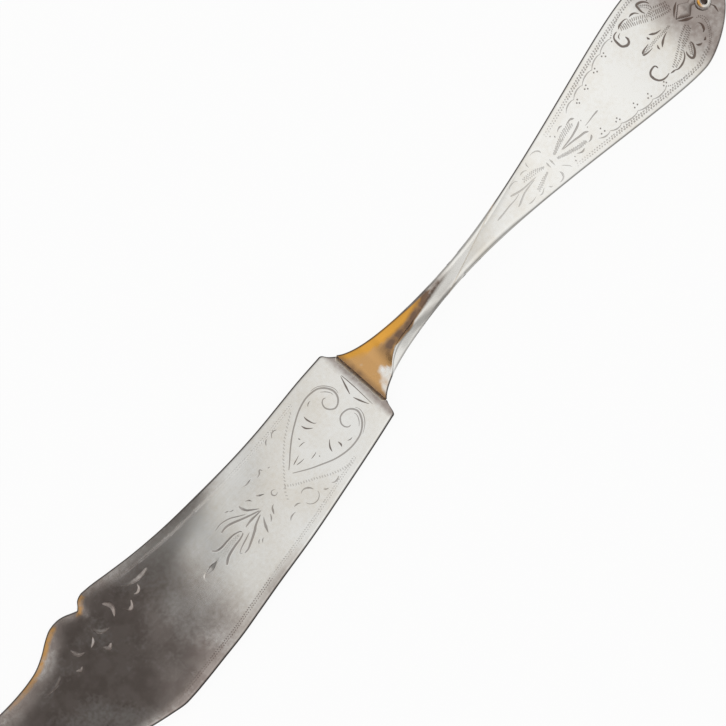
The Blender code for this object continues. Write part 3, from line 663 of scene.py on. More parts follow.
def eased_corners(corners, soft, steps, fill):
    """Sections with eased corners: each corner's arc, then points along the straight side after it."""
    before, after = np.roll(corners, 1, axis=1), np.roll(corners, -1, axis=1)
    reach = np.broadcast_to(soft, corners.shape[:2])[..., None]

    def towards(other):
        gap = other - corners
        far = np.maximum(norm(gap, axis=2, keepdims=True), 1e-9)
        return corners + gap / far * np.minimum(reach, 0.45 * far)

    start, end = towards(before), towards(after)
    t = np.linspace(0, 1, steps + 1)[:, None]
    arcs = ((1 - t) ** 2 * start[:, :, None] + 2 * t * (1 - t) * corners[:, :, None]
            + t * t * end[:, :, None])
    gap = np.roll(start, -1, axis=1) - end
    margin = np.minimum(FLAT_MARGIN / np.maximum(norm(gap, axis=2), 1e-9), 0.3)[..., None, None]
    s = margin + (1 - 2 * margin) * np.linspace(0, 1, fill)[:, None]
    sides = end[:, :, None] + gap[:, :, None] * s
    return np.concatenate((arcs, sides), axis=2).reshape(len(corners), -1, 2)


def shank_rings(x):
    """Points round neck or handle at each distance. The side that becomes the handle's front comes last."""
    angle = twist(x)[:, None]
    y, z = np.array([-1, 1, 1, -1]), np.array([1, 1, -1, -1])
    half = np.stack((half_width(x), rounded_half(x)), axis=1)[:, None, :]
    turned = np.stack((y * np.cos(angle) + z * np.sin(angle), z * np.cos(angle) - y * np.sin(angle)), axis=2)
    turned = turned / np.abs(turned).max(axis=1, keepdims=True) * half
    soft = size.edge_round + (size.neck_round - size.edge_round) * swelling(x, ROUND_SPAN)
    rings = eased_corners(turned, soft[:, None], CORNER_STEPS, SIDE_POINTS)
    rings = rings / np.abs(rings).max(axis=1, keepdims=True) * half
    along = np.broadcast_to(x[:, None], rings.shape[:2])
    rings[..., 1] = middle(along) + crowned(along, rings[..., 0], rings[..., 1])
    return rings


def dark_sides(x, section):
    """Dark on the sides of neck and handle: some tarnish, which no cloth reaches, and painted shade for the
    dark that the rounded rims mirror; darkest by the front's rim.
    """
    rise = (section[..., 1] - middle(x)) / half_thickness(x)
    fade = falling(half_width(x) - np.abs(section[..., 0]), *SIDE_FADE)
    return fade * (SIDE_LEAST + (1 - SIDE_LEAST) * rising(rise, *SIDE_RISE))


def placed(x, section):
    """Points in the knife's frame from distances past the root line and (across, up) sections."""
    along = np.broadcast_to(np.asarray(x)[:, None], section.shape[:2])
    return np.stack((along + ROOT_X, section[..., 0] + AXIS_Y, section[..., 1]), axis=2)


class Cuts:
    """Engraved cuts as centre lines with a half width at each point, in the knife's frame."""

    def __init__(self, seed):
        self.lines = []
        self.random = np.random.default_rng(seed)
        self.zero = np.array((ROOT_X + ENGRAVERS_ZERO, AXIS_Y))

    def stroke(self, dirt, width, fullest, *points):
        """One cut through the points, thin at its ends and fullest at a share of its length."""
        points = np.array(points, float)
        ends = np.concatenate((2 * points[:1] - points[1:2], points, 2 * points[-1:] - points[-2:-1]))
        found = []
        for a, b, c, d in zip(ends, ends[1:], ends[2:], ends[3:]):
            t = np.linspace(0, 1, 2 + int(norm(c - b) / STROKE_STEP))[:-1, None]
            found.append(0.5 * (2 * b + (c - a) * t + (2 * a - 5 * b + 4 * c - d) * t ** 2
                                + (3 * b - a - 3 * c + d) * t ** 3))
        line = np.concatenate(found + [points[-1:]])
        run = np.concatenate(((0,), np.cumsum(norm(np.diff(line, axis=0), axis=1))))
        share = run / run[-1]
        ease = np.clip(TAPER / run[-1], *TAPER_SHARES)
        swell = np.minimum(share / fullest, (1 - share) / (1 - fullest)) ** ease
        self.lines.append((line + self.zero, width / 2 * swell, dirt))

    def mark(self, dirt, x, y, angle, long, wide, waisted=False):
        """One short mark. A waisted one is fullest near its two ends, where the rocking graver digs in."""
        x, y = np.array((x, y)) + self.random.normal(0, PLACE_SPREAD, 2)
        angle += self.random.normal(0, ANGLE_SPREAD)
        reach = long / 2 * np.array((math.cos(angle), math.sin(angle)))
        spread, half = WAISTED_MARK if waisted else PLAIN_MARK
        line = np.array((x, y)) + self.zero + np.outer(spread, reach)
        self.lines.append((line, wide / 2 * np.array(half), dirt))

    def strokes(self, dirt, bolder, motif):
        for width, fullest, *points in motif:
            self.stroke(dirt, width * bolder, fullest, *points)

    def border(self, dirt, fade, points, pitch, tall, wide, back):
        """Zigzag along a line, as a rocked graver leaves it. Its first marks are light ones."""
        lean, long = math.atan2(tall, pitch / 2), ZIGZAG_REACH * math.hypot(tall, pitch / 2)
        for i, (spot, angle) in enumerate(zip(*self.spaced(points, pitch / 2))):
            full = min(1, ZIGZAG_START + (1 - ZIGZAG_START) * i / fade)
            self.mark(dirt, *spot, angle + (-1) ** i * lean, long, full * (back if i % 2 else wide), True)

    def hatch(self, dirt, rows, pitch, long, lean, one, two):
        """Rows of marks that fill the space between two lines."""
        one, two = (self.spaced(line, 0.05)[0] for line in (one, two))
        t = np.linspace(0, 1, 60)
        one, two = (line[np.round(t * (len(line) - 1)).astype(int)] for line in (one, two))
        for row in range(rows):
            share = (row + 0.5) / rows
            for (x, y), angle in zip(*self.spaced(one * (1 - share) + two * share, pitch)):
                self.mark(dirt, x + pitch / 2 * (row % 2), y, angle + math.radians(lean), long, HATCH_WIDTH)

    @staticmethod
    def spaced(points, pitch):
        """Points at an even pitch along a line, and the line's angle at each."""
        points = np.array(points, float)
        run = np.concatenate(((0,), np.cumsum(norm(np.diff(points, axis=0), axis=1))))
        at = np.arange(0, run[-1], pitch)
        line = np.stack([np.interp(at, run, points[:, k]) for k in (0, 1)], axis=1)
        slope = np.gradient(line, axis=0) if len(line) > 1 else points[-1:] - points[:1]
        return line, np.arctan2(slope[:, 1], slope[:, 0])

    def depth(self, points):
        """How deep the cuts go at each point, and how much dirt they hold there."""
        steep = math.tan(size.angle("graver_angle"))
        order = np.argsort(points[:, 0])
        across = points[order, 0]
        deep, dirt = np.zeros(len(points)), np.zeros(len(points))
        for line, half, strength in self.lines:
            margin = half.max()
            slope = min(steep, DEEPEST_CUT / margin)
            low, high = line.min(axis=0) - margin, line.max(axis=0) + margin
            near = order[np.searchsorted(across, low[0]):np.searchsorted(across, high[0])]
            near = near[(points[near, 1] > low[1]) & (points[near, 1] < high[1])]
            if len(near) == 0:
                continue
            gap, wide, left = self.nearest(points[near], line, half)
            if strength:
                wall = (1 - FLOOR_SHARE) * wide
                found = slope * np.minimum(wide - gap, wall).max(axis=1).clip(0)
                found[found < SHALLOWEST_CUT] = 0
                held = strength * ((wide - gap) / np.maximum(wall, TINY)).max(axis=1).clip(0, 1)
            else:
                spot = np.arange(len(near)), gap.argmin(axis=1)
                reach = np.maximum(wide[spot], TINY)
                share = np.where(left[spot], 1, -1) * gap[spot] / reach
                shape = np.where(share > WALL_SHARE, 1 - share, WALL_TIMES * (1 + share)).clip(0)
                found = FACET_SLOPE * reach * shape
                held = WALL_DIRT * (share < WALL_DIRT_SHARE)
            ends = norm(points[near, None] - line[[0, -1]], axis=2).min(axis=1)
            found[ends < MERGED] = 0
            deep[near] = np.maximum(deep[near], found)
            dirt[near] = np.maximum(dirt[near], np.where(found > 0, held, 0))
        return deep, dirt

    @staticmethod
    def nearest(points, line, half):
        """Each point's distance to each stretch of a line, the half width there, and if it is to the left."""
        start, run = line[:-1], np.diff(line, axis=0)
        offset = points[:, None] - start
        share = np.clip((offset * run).sum(2) / np.maximum((run ** 2).sum(1), 1e-12), 0, 1)
        gap = norm(offset - share[..., None] * run, axis=2)
        left = run[:, 0] * offset[..., 1] > run[:, 1] * offset[..., 0]
        return gap, half[:-1] * (1 - share) + half[1:] * share, left


def inside(points, loop):
    """Which points lie inside a closed loop."""
    found = np.zeros(len(points), bool)
    for (ax, ay), (bx, by) in zip(loop, np.roll(loop, -1, axis=0)):
        if ay != by:
            beside = (ay > points[:, 1]) != (by > points[:, 1])
            found ^= beside & (points[:, 0] < (bx - ax) * (points[:, 1] - ay) / (by - ay) + ax)
    return found


def ring_edges(start, count):
    """Edges round a ring of points."""
    return [(start + i, start + (i + 1) % count) for i in range(count)]


def engraved_face(loop, cuts, spacing):
    """Triangles that fill a loop of points, with each cut's rims and floor as edges. The loop comes first."""
    coords, edges = list(loop), ring_edges(0, len(loop))

    def chain(points, first, last):
        spots = [first] + list(range(len(coords), len(coords) + len(points))) + [last]
        coords.extend(points)
        edges.extend(zip(spots, spots[1:]))

    kept = Cuts(0)
    corners = []
    for cut in cuts.lines:
        (left, low), (right, high) = cut[0].min(axis=0) - CUT_ROOM, cut[0].max(axis=0) + CUT_ROOM
        corners += [(left, low), (right, high), (left, high), (right, low)]
    fits = inside(np.array(corners), loop).reshape(-1, 4).all(axis=1)
    for (line, half, dirt), fit in zip(cuts.lines, fits):
        if not fit:
            continue
        kept.lines.append((line, half, dirt))
        along = np.gradient(line, axis=0)
        side = np.stack((-along[:, 1], along[:, 0]), axis=1) / norm(along, axis=1, keepdims=True)
        first, last = len(coords), len(coords) + 1
        coords.extend((line[0], line[-1]))
        for out in CUT_RAILS if dirt else DISH_RAILS:
            chain(line[1:-1] + out * side[1:-1] * half[1:-1, None], first, last)
    low, high = loop.min(axis=0), loop.max(axis=0)
    grid = np.stack(np.meshgrid(*(np.arange(low[k], high[k], spacing) for k in (0, 1))), axis=2)
    grid = grid.reshape(-1, 2)
    grid[:, 1] += 0.5 * spacing * (np.round((grid[:, 0] - low[0]) / spacing) % 2)
    even, heading = Cuts.spaced(np.concatenate((loop, loop[:1])), RIM_PITCH)
    inward = np.stack((-np.sin(heading), np.cos(heading)), axis=1)
    rails = [(even + gap * inward, gap - RIM_SLACK) for gap in RIM_ROWS]
    for free, gap in rails + [(grid, RIM_STRIP)]:
        free = free[inside(free, loop)]
        free = free[distance_to(loop, free) > gap]
        free = free[clear_of(free, kept)]
        coords.extend(free)
    done = delaunay_2d_cdt([Vector(p) for p in coords], edges, [], 1, MERGED, True)
    points = np.array([tuple(v) for v in done[0]])
    source = [min(ids) if ids else -1 for ids in done[3]]
    faces = np.array([tuple(face) for face in done[2]])
    faces = faces[inside(points[faces].mean(axis=1), loop)]
    return points, source, faces, *kept.depth(points)


def distance_to(loop, points):
    """How far points are from a closed line, which is taken in stretches."""
    closed = np.concatenate((loop, loop[:1]))
    far = np.full(len(points), np.inf)
    stretch = 60
    for start in range(0, len(loop), stretch):
        part = closed[start:start + stretch + 1]
        far = np.minimum(far, Cuts.nearest(points, part, np.zeros(len(part)))[0].min(axis=1))
    return far


def clear_of(points, cuts):
    """Which points lie outside every cut, with a little room."""
    free = np.ones(len(points), bool)
    for line, half, _ in cuts.lines:
        margin = half.max() + CUT_CLEARANCE
        low, high = line.min(axis=0) - margin, line.max(axis=0) + margin
        near = np.flatnonzero(((points > low) & (points < high)).all(axis=1))
        if len(near):
            gap, wide = Cuts.nearest(points[near], line, half)[:2]
            free[near] &= (gap - wide).min(axis=1) > CUT_CLEARANCE
    return free


class Skin:
    """Points, faces and point values of one piece, in millimetres. Paint is a value's function of points."""

    def __init__(self):
        self.points, self.faces, self.count = [], [], 0
        self.values = {"cut": [], "wear": [], "stain": [], "tarnish": []}
        self.paint = {}

    def add(self, points, **values):
        """Adds points and gives the number of the first."""
        points = np.asarray(points, float).reshape(-1, 3)
        first = self.count
        self.points.append(points)
        self.count += len(points)
        for name, found in self.values.items():
            found.append(np.broadcast_to(np.ravel(values.get(name, 0.0)), len(points)))
        return first

    def loft(self, first, rings, count, gap_from=None):
        """Faces between rings that follow each other. From a gap on, only the last side is closed."""
        sides = [i for i in range(count) if gap_from is None or not gap_from <= i < count - 1]
        for ring in range(rings - 1):
            for i in sides:
                a, b = first + ring * count + i, first + ring * count + (i + 1) % count
                self.faces.append((a, b, b + count, a + count))

    def fill(self, face):
        self.faces.append(tuple(face))

    def closed_loft(self, points, **values):
        """Adds rings of points, with faces between them and over the first and the last."""
        rings, count = points.shape[:2]
        first = self.add(points, **values)
        self.loft(first, rings, count)
        self.fill(range(first, first + count))
        self.fill(range(first + (rings - 1) * count, first + rings * count))

    def engrave(self, border, cuts, spacing, heights):
        """Fills a loop of the skin's points with an engraved face."""
        loop = np.concatenate(self.points)[border, :2]
        points, source, faces, deep, dirt = engraved_face(loop, cuts, spacing)
        new = [i for i, s in enumerate(source) if not 0 <= s < len(border)]
        spots = np.array([border[s] if 0 <= s < len(border) else 0 for s in source])
        height = heights(points[new]) - deep[new]
        first = self.add(np.column_stack((points[new], height)), cut=dirt[new])
        spots[new] = first + np.arange(len(new))
        self.faces.extend(tuple(int(spots[i]) for i in face) for face in faces)

    def mesh(self, name):
        """A bmesh in metres, with its faces turned outwards and loose points gone."""
        points = np.concatenate(self.points)
        mesh = bpy.data.meshes.new(name)
        mesh.from_pydata((points * MM).tolist(), [], self.faces)
        values = {label: np.concatenate(found) for label, found in self.values.items()}
        for label, brush in self.paint.items():
            values[label] = np.maximum(values[label], brush(points))
        for label, found in values.items():
            mesh.attributes.new(label, "FLOAT", "POINT").data.foreach_set("value", found)
        bm = bmesh.new()
        bm.from_mesh(mesh)
        bpy.data.meshes.remove(mesh)
        bmesh.ops.delete(bm, geom=[v for v in bm.verts if not v.link_faces], context="VERTS")
        bmesh.ops.recalc_face_normals(bm, faces=bm.faces)
        return bm


def crease(bm, degrees):
    """Shades smooth, but for folds beyond an angle and for the rims and floors of engraved cuts."""
    cut = bm.verts.layers.float["cut"]
    for face in bm.faces:
        face.smooth = True
        face.tag = any(v[cut] > 0 for v in face.verts)
    for edge in bm.edges:
        one, two = edge.verts
        folded = edge.calc_face_angle(0) > math.radians(degrees)
        along_cut = any(f.tag for f in edge.link_faces) and (one[cut] > 0) == (two[cut] > 0)
        edge.smooth = not (folded or along_cut)


def add_object(name, data):
    """A new object in the scene."""
    made = bpy.data.objects.new(name, data)
    bpy.context.scene.collection.objects.link(made)
    return made


def finish_piece(bm, name, slot, degrees=FOLD):
    """Makes the object, which rides on the knife and stands for the solid of its name."""
    mesh = bpy.data.meshes.new(name)
    crease(bm, degrees)
    bm.to_mesh(mesh)
    bm.free()
    mesh.materials.append(material(*FINISHES[slot]))
    piece = add_object(name + "_finish", mesh)
    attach(piece, "root")
    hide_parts(name)
    return piece


def cut_away(piece, tool):
    """Cuts a tool's shape out of a piece for good."""
    tool_mesh = bpy.data.meshes.new("tool")
    bmesh.ops.recalc_face_normals(tool, faces=tool.faces)
    tool.to_mesh(tool_mesh)
    tool.free()
    cutter = add_object("tool", tool_mesh)
    change = piece.modifiers.new("Cut", "BOOLEAN")
    change.operation = "DIFFERENCE"
    change.solver = "EXACT"
    change.object = cutter
    bpy.context.view_layer.update()
    done = bpy.data.meshes.new_from_object(piece.evaluated_get(bpy.context.evaluated_depsgraph_get()))
    piece.modifiers.remove(change)
    old, piece.data = piece.data, done
    bpy.data.meshes.remove(old)
    bpy.data.objects.remove(cutter, do_unlink=True)
    bpy.data.meshes.remove(tool_mesh)
    bm = bmesh.new()
    bm.from_mesh(done)
    crease(bm, FOLD)
    bm.to_mesh(done)
    bm.free()


def half_split(bm, offset, keep_neck):
    """Keeps one side of the upright scarf plane, moved by an offset towards the neck, and closes the cut."""
    angle = size.angle("scarf_angle")
    normal = Vector((-math.sin(angle), math.cos(angle), 0))
    spot = Vector((ROOT_LINE + (size.flare_length + size.scarf_past) * MM, AXIS, 0)) + normal * offset * MM
    geometry = list(bm.verts) + list(bm.edges) + list(bm.faces)
    bmesh.ops.bisect_plane(bm, geom=geometry, dist=1e-7, plane_co=spot, plane_no=normal,
                           clear_inner=keep_neck, clear_outer=not keep_neck)
    bmesh.ops.holes_fill(bm, edges=[e for e in bm.edges if e.is_boundary], sides=0)


def add_node(tree, kind, inputs=None, stops=(), **settings):
    """Adds a node, sets its options and a ramp's stops, and sets or links its inputs.

    A stop is its place and a colour or a grey. An input that is a pair of node and output name is a link.
    """
    made = tree.nodes.new("ShaderNode" + kind)
    for name, value in settings.items():
        setattr(made, name, value)
    for _ in stops[2:]:
        made.color_ramp.elements.new(0.5)
    for element, (place, shade) in zip(made.color_ramp.elements if stops else (), stops):
        element.position = place
        element.color = (*shade, 1) if isinstance(shade, Color) else (shade, shade, shade, 1)
    for name, value in (inputs or {}).items():
        socket = made.inputs[name]
        if isinstance(value, tuple) and isinstance(value[0], bpy.types.Node):
            tree.links.new(value[0].outputs[value[1]], socket)
        else:
            socket.default_value = (*value, 1) if isinstance(value, Color) else value
    return made


def node_adder(owner):
    """Empties the node tree of a material or world, and gives the function that adds a node to it."""
    owner.use_nodes = True
    owner.node_tree.nodes.clear()
    return functools.partial(add_node, owner.node_tree)


def material(name, dress):
    """The material of a name. When it is new, a function adds its nodes and gives the last one's output."""
    found = bpy.data.materials.get(name)
    if not found:
        found = bpy.data.materials.new(name)
        node = node_adder(found)
        node("OutputMaterial", {"Surface": dress(node, bpy.context.scene.knife_colours)})
    return found


def metal_ground(node):
    """What every plated piece shares: place, slow cloudiness, fine mottling and hairline scratches."""
    place = node("TexCoord")
    # Clouds of tarnish about 9 mm across and mottling of 0.7 mm.
    cloud = node("TexNoise", {"Vector": (place, "Object"), "Scale": 1 / (9 * MM), "Detail": 4})
    mottle = node("TexNoise", {"Vector": (place, "Object"), "Scale": 1 / (0.7 * MM), "Detail": 3})
    # Hairlines 0.12 mm apart and 4 mm long, along the knife: real ones are finer, but would not show.
    drawn = node("Mapping",
                 {"Vector": (place, "Object"), "Scale": (1 / (4 * MM), 1 / (0.12 * MM), 1 / (0.12 * MM))})
    hairs = node("TexNoise", {"Vector": (drawn, "Vector"), "Scale": 1.0, "Detail": 2})
    return place, cloud, mottle, hairs


def silver_plate(node, shades):
    """Electroplated silver, burnished and then rubbed for years: a soft gloss, warm films and dark cuts, with
    painted shade and painted reflections.
    """
    place, cloud, mottle, hairs = metal_ground(node)
    cut, wear, stain, tarnish = (node("Attribute", attribute_name=name)
                                 for name in ("cut", "wear", "stain", "tarnish"))
    blotch = node("Math", {0: (mottle, "Fac"), 1: 0.5, 2: (cloud, "Fac")}, operation="MULTIPLY_ADD")
    film = node("ValToRGB", {"Fac": (blotch, "Value")}, ((0.62, 0), (0.98, 0.8)))
    bright = node("Mix", {0: (film, "Color"), 6: shades.silver, 7: shades.warm_film}, data_type="RGBA")
    # Tarnish, which also paints dark reflection towards the blade's point and the handle's end, and shade
    # beside the root solder.
    cloudy = node("Math", {0: (tarnish, "Fac"), 1: (blotch, "Value")}, operation="MULTIPLY")
    browned = node("ValToRGB", {"Fac": (cloudy, "Value")}, ((0.1, 0), (0.75, 1)))
    # Smoky clouds in the thick tarnish, about 2.5 mm across.
    smoke = node("TexNoise", {"Vector": (place, "Object"), "Scale": 1 / (2.5 * MM), "Detail": 6})
    smoky = node("ValToRGB", {"Fac": (smoke, "Fac")}, ((0.4, shades.deep_tarnish_and_shade), (0.62, shades.smoke)))
    plate = node("Mix", {0: (browned, "Color"), 6: (bright, "Result"), 7: (smoky, "Color")},
                 data_type="RGBA")
    # Brass where the spine is rubbed, with a painted amber reflection where it faces one way.
    worn_edge = node("Math", {0: (wear, "Fac"), 1: (mottle, "Fac")}, operation="MULTIPLY")
    worn = node("ValToRGB", {"Fac": (worn_edge, "Value")}, ((0.1, 0), (0.55, 0.7)))
    edged = node("Mix", {0: (worn, "Color"), 6: (plate, "Result"), 7: shades.brass_and_amber_reflection}, data_type="RGBA")
    # Painted shade on the narrow sides, with some tarnish.
    sided = node("Mix", {0: (stain, "Fac"), 6: (edged, "Result"), 7: shades.side_tarnish_and_shade}, data_type="RGBA")
    # Dirt in the cuts; on the rosette also painted shade down the leaf's lower half.
    dirty = node("ValToRGB", {"Fac": (cut, "Fac")}, ((0.0, 0), (1.0, 0.95)))
    final = node("Mix", {0: (dirty, "Color"), 6: (sided, "Result"), 7: shades.patina}, data_type="RGBA")
    rough = node("MapRange", {"Value": (mottle, "Fac"), "To Min": 0.08, "To Max": 0.12})
    # Sheet metal is never quite flat: its waves are 9 mm across and a few hundredths high.
    swell = node("TexNoise", {"Vector": (place, "Object"), "Scale": 1 / (9 * MM), "Detail": 0})
    waves = node("Bump", {"Height": (swell, "Fac"), "Strength": 1.0, "Distance": 0.08 * MM})
    bump = node("Bump", {"Height": (hairs, "Fac"), "Strength": 0.06, "Distance": 0.02 * MM,
                         "Normal": (waves, "Normal")})
    shader = node("BsdfPrincipled", {"Base Color": (final, "Result"), "Metallic": 1.0,
                                     "Roughness": (rough, "Result"), "Normal": (bump, "Normal")})
    return shader, "BSDF"


def worn_plate(node, shades):
    """Silver plate rubbed through to brass: amber where it is bare and where an amber reflection is painted,
    tan and brown under old films, with painted shade in the brown and on the sides.
    """
    place, cloud, mottle, hairs = metal_ground(node)
    wear, stain, tarnish = (node("Attribute", attribute_name=name) for name in ("wear", "stain", "tarnish"))
    # Ragged edges of the bare brass, about 1.6 mm across.
    ragged = node("TexNoise", {"Vector": (place, "Object"), "Scale": 1 / (1.6 * MM), "Detail": 5})
    # Bare brass, which also carries a painted amber reflection on the side that faces the spine.
    edge = node("Math", {0: (ragged, "Fac"), 1: 0.5, 2: (wear, "Fac")}, operation="MULTIPLY_ADD")
    bare = node("ValToRGB", {"Fac": (edge, "Value")}, ((0.38, 0), (0.66, 1)))
    brassy = node("ValToRGB", {"Fac": (wear, "Fac")}, ((0.45, shades.tan_brass), (0.85, shades.brass_and_amber_reflection)))
    film = node("ValToRGB", {"Fac": (cloud, "Fac")}, ((0.45, 0), (0.65, 0.35)))
    plate = node("Mix", {0: (film, "Color"), 6: shades.silver, 7: shades.warm_film}, data_type="RGBA")
    metal = node("Mix", {0: (bare, "Color"), 6: (plate, "Result"), 7: (brassy, "Color")}, data_type="RGBA")
    thick = node("Math", {0: (ragged, "Fac"), 1: 1.5, 2: 0.05}, operation="MULTIPLY_ADD")
    # The stain is partly painted shade: along the ridge, above the brass, at the root and on the side towards
    # the edge.
    brown = node("Math", {0: (stain, "Fac"), 1: (thick, "Value")}, operation="MULTIPLY")
    soiled = node("ValToRGB", {"Fac": (brown, "Value")}, ((0.05, 0), (0.85, 0.95)))
    browned = node("Mix", {0: (soiled, "Color"), 6: (metal, "Result"), 7: shades.stain}, data_type="RGBA")
    # Painted shade on the narrow sides, with some tarnish.
    final = node("Mix", {0: (tarnish, "Fac"), 6: (browned, "Result"), 7: shades.side_tarnish_and_shade},
                 data_type="RGBA")
    rough = node("MapRange", {"Value": (mottle, "Fac"), "To Min": 0.14, "To Max": 0.24})
    bump = node("Bump", {"Height": (hairs, "Fac"), "Strength": 0.08, "Distance": 0.02 * MM})
    shader = node("BsdfPrincipled", {"Base Color": (final, "Result"), "Metallic": 1.0,
                                     "Roughness": (rough, "Result"), "Normal": (bump, "Normal")})
    return shader, "BSDF"


def hard_solder(node, shades):
    """Brass-coloured hard solder under years of tarnish: dull, dark brown and uneven."""
    place = node("TexCoord")
    # Grains and pits of the cooled solder, 0.4 mm across.
    grain = node("TexNoise", {"Vector": (place, "Object"), "Scale": 1 / (0.4 * MM), "Detail": 4})
    brown = node("ValToRGB", {"Fac": (grain, "Fac")}, ((0.4, shades.solder), (0.8, shades.tan_brass)))
    # How far the solder is dressed bright; on the scarf's sides it is lowered by painted shade.
    dressed = node("Attribute", attribute_name="wear")
    bright = node("Mix", {0: (dressed, "Fac"), 6: (brown, "Color"), 7: shades.warm_film}, data_type="RGBA")
    rough = node("MapRange", {"Value": (dressed, "Fac"), "To Min": 0.42, "To Max": 0.2})
    bump = node("Bump", {"Height": (grain, "Fac"), "Strength": 0.12, "Distance": 0.05 * MM})
    shader = node("BsdfPrincipled", {"Base Color": (bright, "Result"), "Metallic": 1.0,
                                     "Roughness": (rough, "Result"), "Normal": (bump, "Normal")})
    return shader, "BSDF"


def rivet_silver(node, shades):
    """Silver tube clenched into a rivet: bright rubbed rim, worn to brass with a painted amber reflection on
    one side, and a dark bore, unpolished and with painted shade.
    """
    place = node("TexCoord")
    # Mottling of 0.7 mm, as on the plate.
    mottle = node("TexNoise", {"Vector": (place, "Object"), "Scale": 1 / (0.7 * MM), "Detail": 3})
    # The first attribute darkens the bore: tarnish with painted shade. The second is brass wear with a
    # painted amber reflection on one side of the head.
    bore, wear = (node("Attribute", attribute_name=name) for name in ("stain", "wear"))
    film = node("ValToRGB", {"Fac": (mottle, "Fac")}, ((0.45, shades.silver), (0.7, shades.warm_film)))
    rubbed = node("Mix", {0: (wear, "Fac"), 6: (film, "Color"), 7: shades.brass_and_amber_reflection}, data_type="RGBA")
    dark = node("Mix", {0: (bore, "Fac"), 6: (rubbed, "Result"), 7: shades.stain}, data_type="RGBA")
    rough = node("MapRange", {"Value": (bore, "Fac"), "To Min": 0.18, "To Max": 0.6})
    shader = node("BsdfPrincipled",
                  {"Base Color": (dark, "Result"), "Metallic": 1.0, "Roughness": (rough, "Result")})
    return shader, "BSDF"


# Share of even white in the paper, and the felt's feathered edges in metres from the picture's centre, from
# thin to thick: to the right, left, top and bottom of the picture. The right one leans.
PAPER_GLOW = 0.93
FELT_EDGES = ((-0.044, -0.0835), (-0.22, -0.145), (0.0, -0.06), (-0.24, -0.165))
FELT_LEAN = -0.05


def matt_paper(node, shades):
    """White paper, matt. To the camera and in reflections it is mostly an even white, as in a studio."""
    paper = node("BsdfDiffuse", {"Color": shades.floor})
    glow = node("Emission", {"Color": (1, 1, 1, 1), "Strength": 1.0})
    path = node("LightPath")
    seen = node("Math", {0: (path, "Is Camera Ray"), 1: (path, "Is Glossy Ray")}, operation="ADD")
    either = node("Math", {0: (seen, "Value"), 1: (path, "Is Transmission Ray")}, operation="ADD")
    share = node("Math", {0: (either, "Value"), 1: PAPER_GLOW}, operation="MULTIPLY")
    mix = node("MixShader", {0: (share, "Value"), 1: (paper, "BSDF"), 2: (glow, "Emission")})
    return mix, "Shader"


def dark_felt(node, shades):
    """Wool felt, dark and without gloss, that thins out to nothing along its four edges."""
    place = node("TexCoord")
    parts = node("SeparateXYZ", {0: (place, "Object")})
    lean = node("Math", {0: (parts, "Y"), 1: FELT_LEAN, 2: (parts, "X")}, operation="MULTIPLY_ADD")
    thick = None
    runs = ((lean, "Value"), (parts, "X"), (parts, "Y"), (parts, "Y"))
    for run, (thin, full) in zip(runs, FELT_EDGES):
        side = node("MapRange", {"Value": run, "From Min": thin, "From Max": full},
                    interpolation_type="SMOOTHSTEP")
        thick = side if thick is None else node("Math", {
            0: (thick, thick.outputs[0].name), 1: (side, "Result")}, operation="MULTIPLY")
    felt = node("BsdfDiffuse", {"Color": shades.felt})
    clear = node("BsdfTransparent")
    mix = node("MixShader", {0: (thick, "Value"), 1: (clear, "BSDF"), 2: (felt, "BSDF")})
    return mix, "Shader"


# The material of each slot: its name and what makes it.
FINISHES = {
    "silver_plate": ("silver plate, burnished and rubbed", silver_plate),
    "worn_plate": ("silver plate worn through to brass", worn_plate),
    "solder": ("hard solder, tarnished", hard_solder),
    "rivet_silver": ("silver rivet, burnished rim", rivet_silver),
}


def blade_limits(share):
    """Edge and spine across the blade, at shares of its length."""
    return -size.edge_depth * edge_share(share), size.spine_height * spine_share(share)


def front_height(share, y, low, high):
    """Height of the blade's front. Towards the point it falls off a little to spine and edge."""
    to_spine = np.clip(1 - (high - y) / size.spine_strip, 0, 1) ** 2
    to_edge = np.clip(1 - (y - low) / size.edge_strip, 0, 1) ** 2
    sag = size.spine_sag * to_spine + size.edge_sag * to_edge
    return size.blade_thick - rising(share, *SAG_SPAN) * sag


def blade_sections(share):
    """Sections of the blade from the edge's front rim round the back to the spine's, with eased corners."""
    low, high = blade_limits(share)
    fade = np.clip((high - low) / NARROW_BLADE, LEAST_BEVEL, 1)
    bevel, ground = size.edge_bevel * fade, (size.blade_thick - size.edge_thick) * fade
    spine, edge = (front_height(share, y, low, high) for y in (high, low + bevel))
    back = np.zeros_like(share)
    corners = np.stack([np.stack(corner, axis=1) for corner in (
        (low + bevel, edge), (low, edge - ground), (low, back), (high, back), (high, spine))], axis=1)
    steps, fill = 8, 2
    rings = eased_corners(corners, size.rim_round * fade[:, None], steps, fill)
    flat = spine[:, None] + ((edge - spine) / (high - low - bevel))[:, None] * (high[:, None] - rings[..., 0])
    on_front = np.linspace(0, 1, steps + 1) ** 2
    behind = np.zeros(fill + 3 * (steps + 1 + fill))
    on_front = np.concatenate((on_front[::-1], behind, on_front, np.ones(fill)))
    fall = front_height(share[:, None], rings[..., 0], low[:, None], high[:, None]) - flat
    rings[..., 1] += on_front * fall
    return rings


def blade_stations():
    """Shares of the blade's length: close together at the shoulders, the notch and the point."""
    spans = ((0.0, 0.03, 36), (0.03, 0.61, 170), (0.61, 0.73, 90), (0.73, 0.95, 80), (0.95, 1.0, 40))
    return np.concatenate([np.linspace(a, b, n, endpoint=False) for a, b, n in spans] + [np.array((1.0,))])


def border_line(span, rim, inset):
    """Points that keep an inset below a rim, in the engraver's frame."""
    x = np.linspace(*span, 120)
    return np.stack((x, rim(x + ENGRAVERS_ZERO) - inset), axis=1)


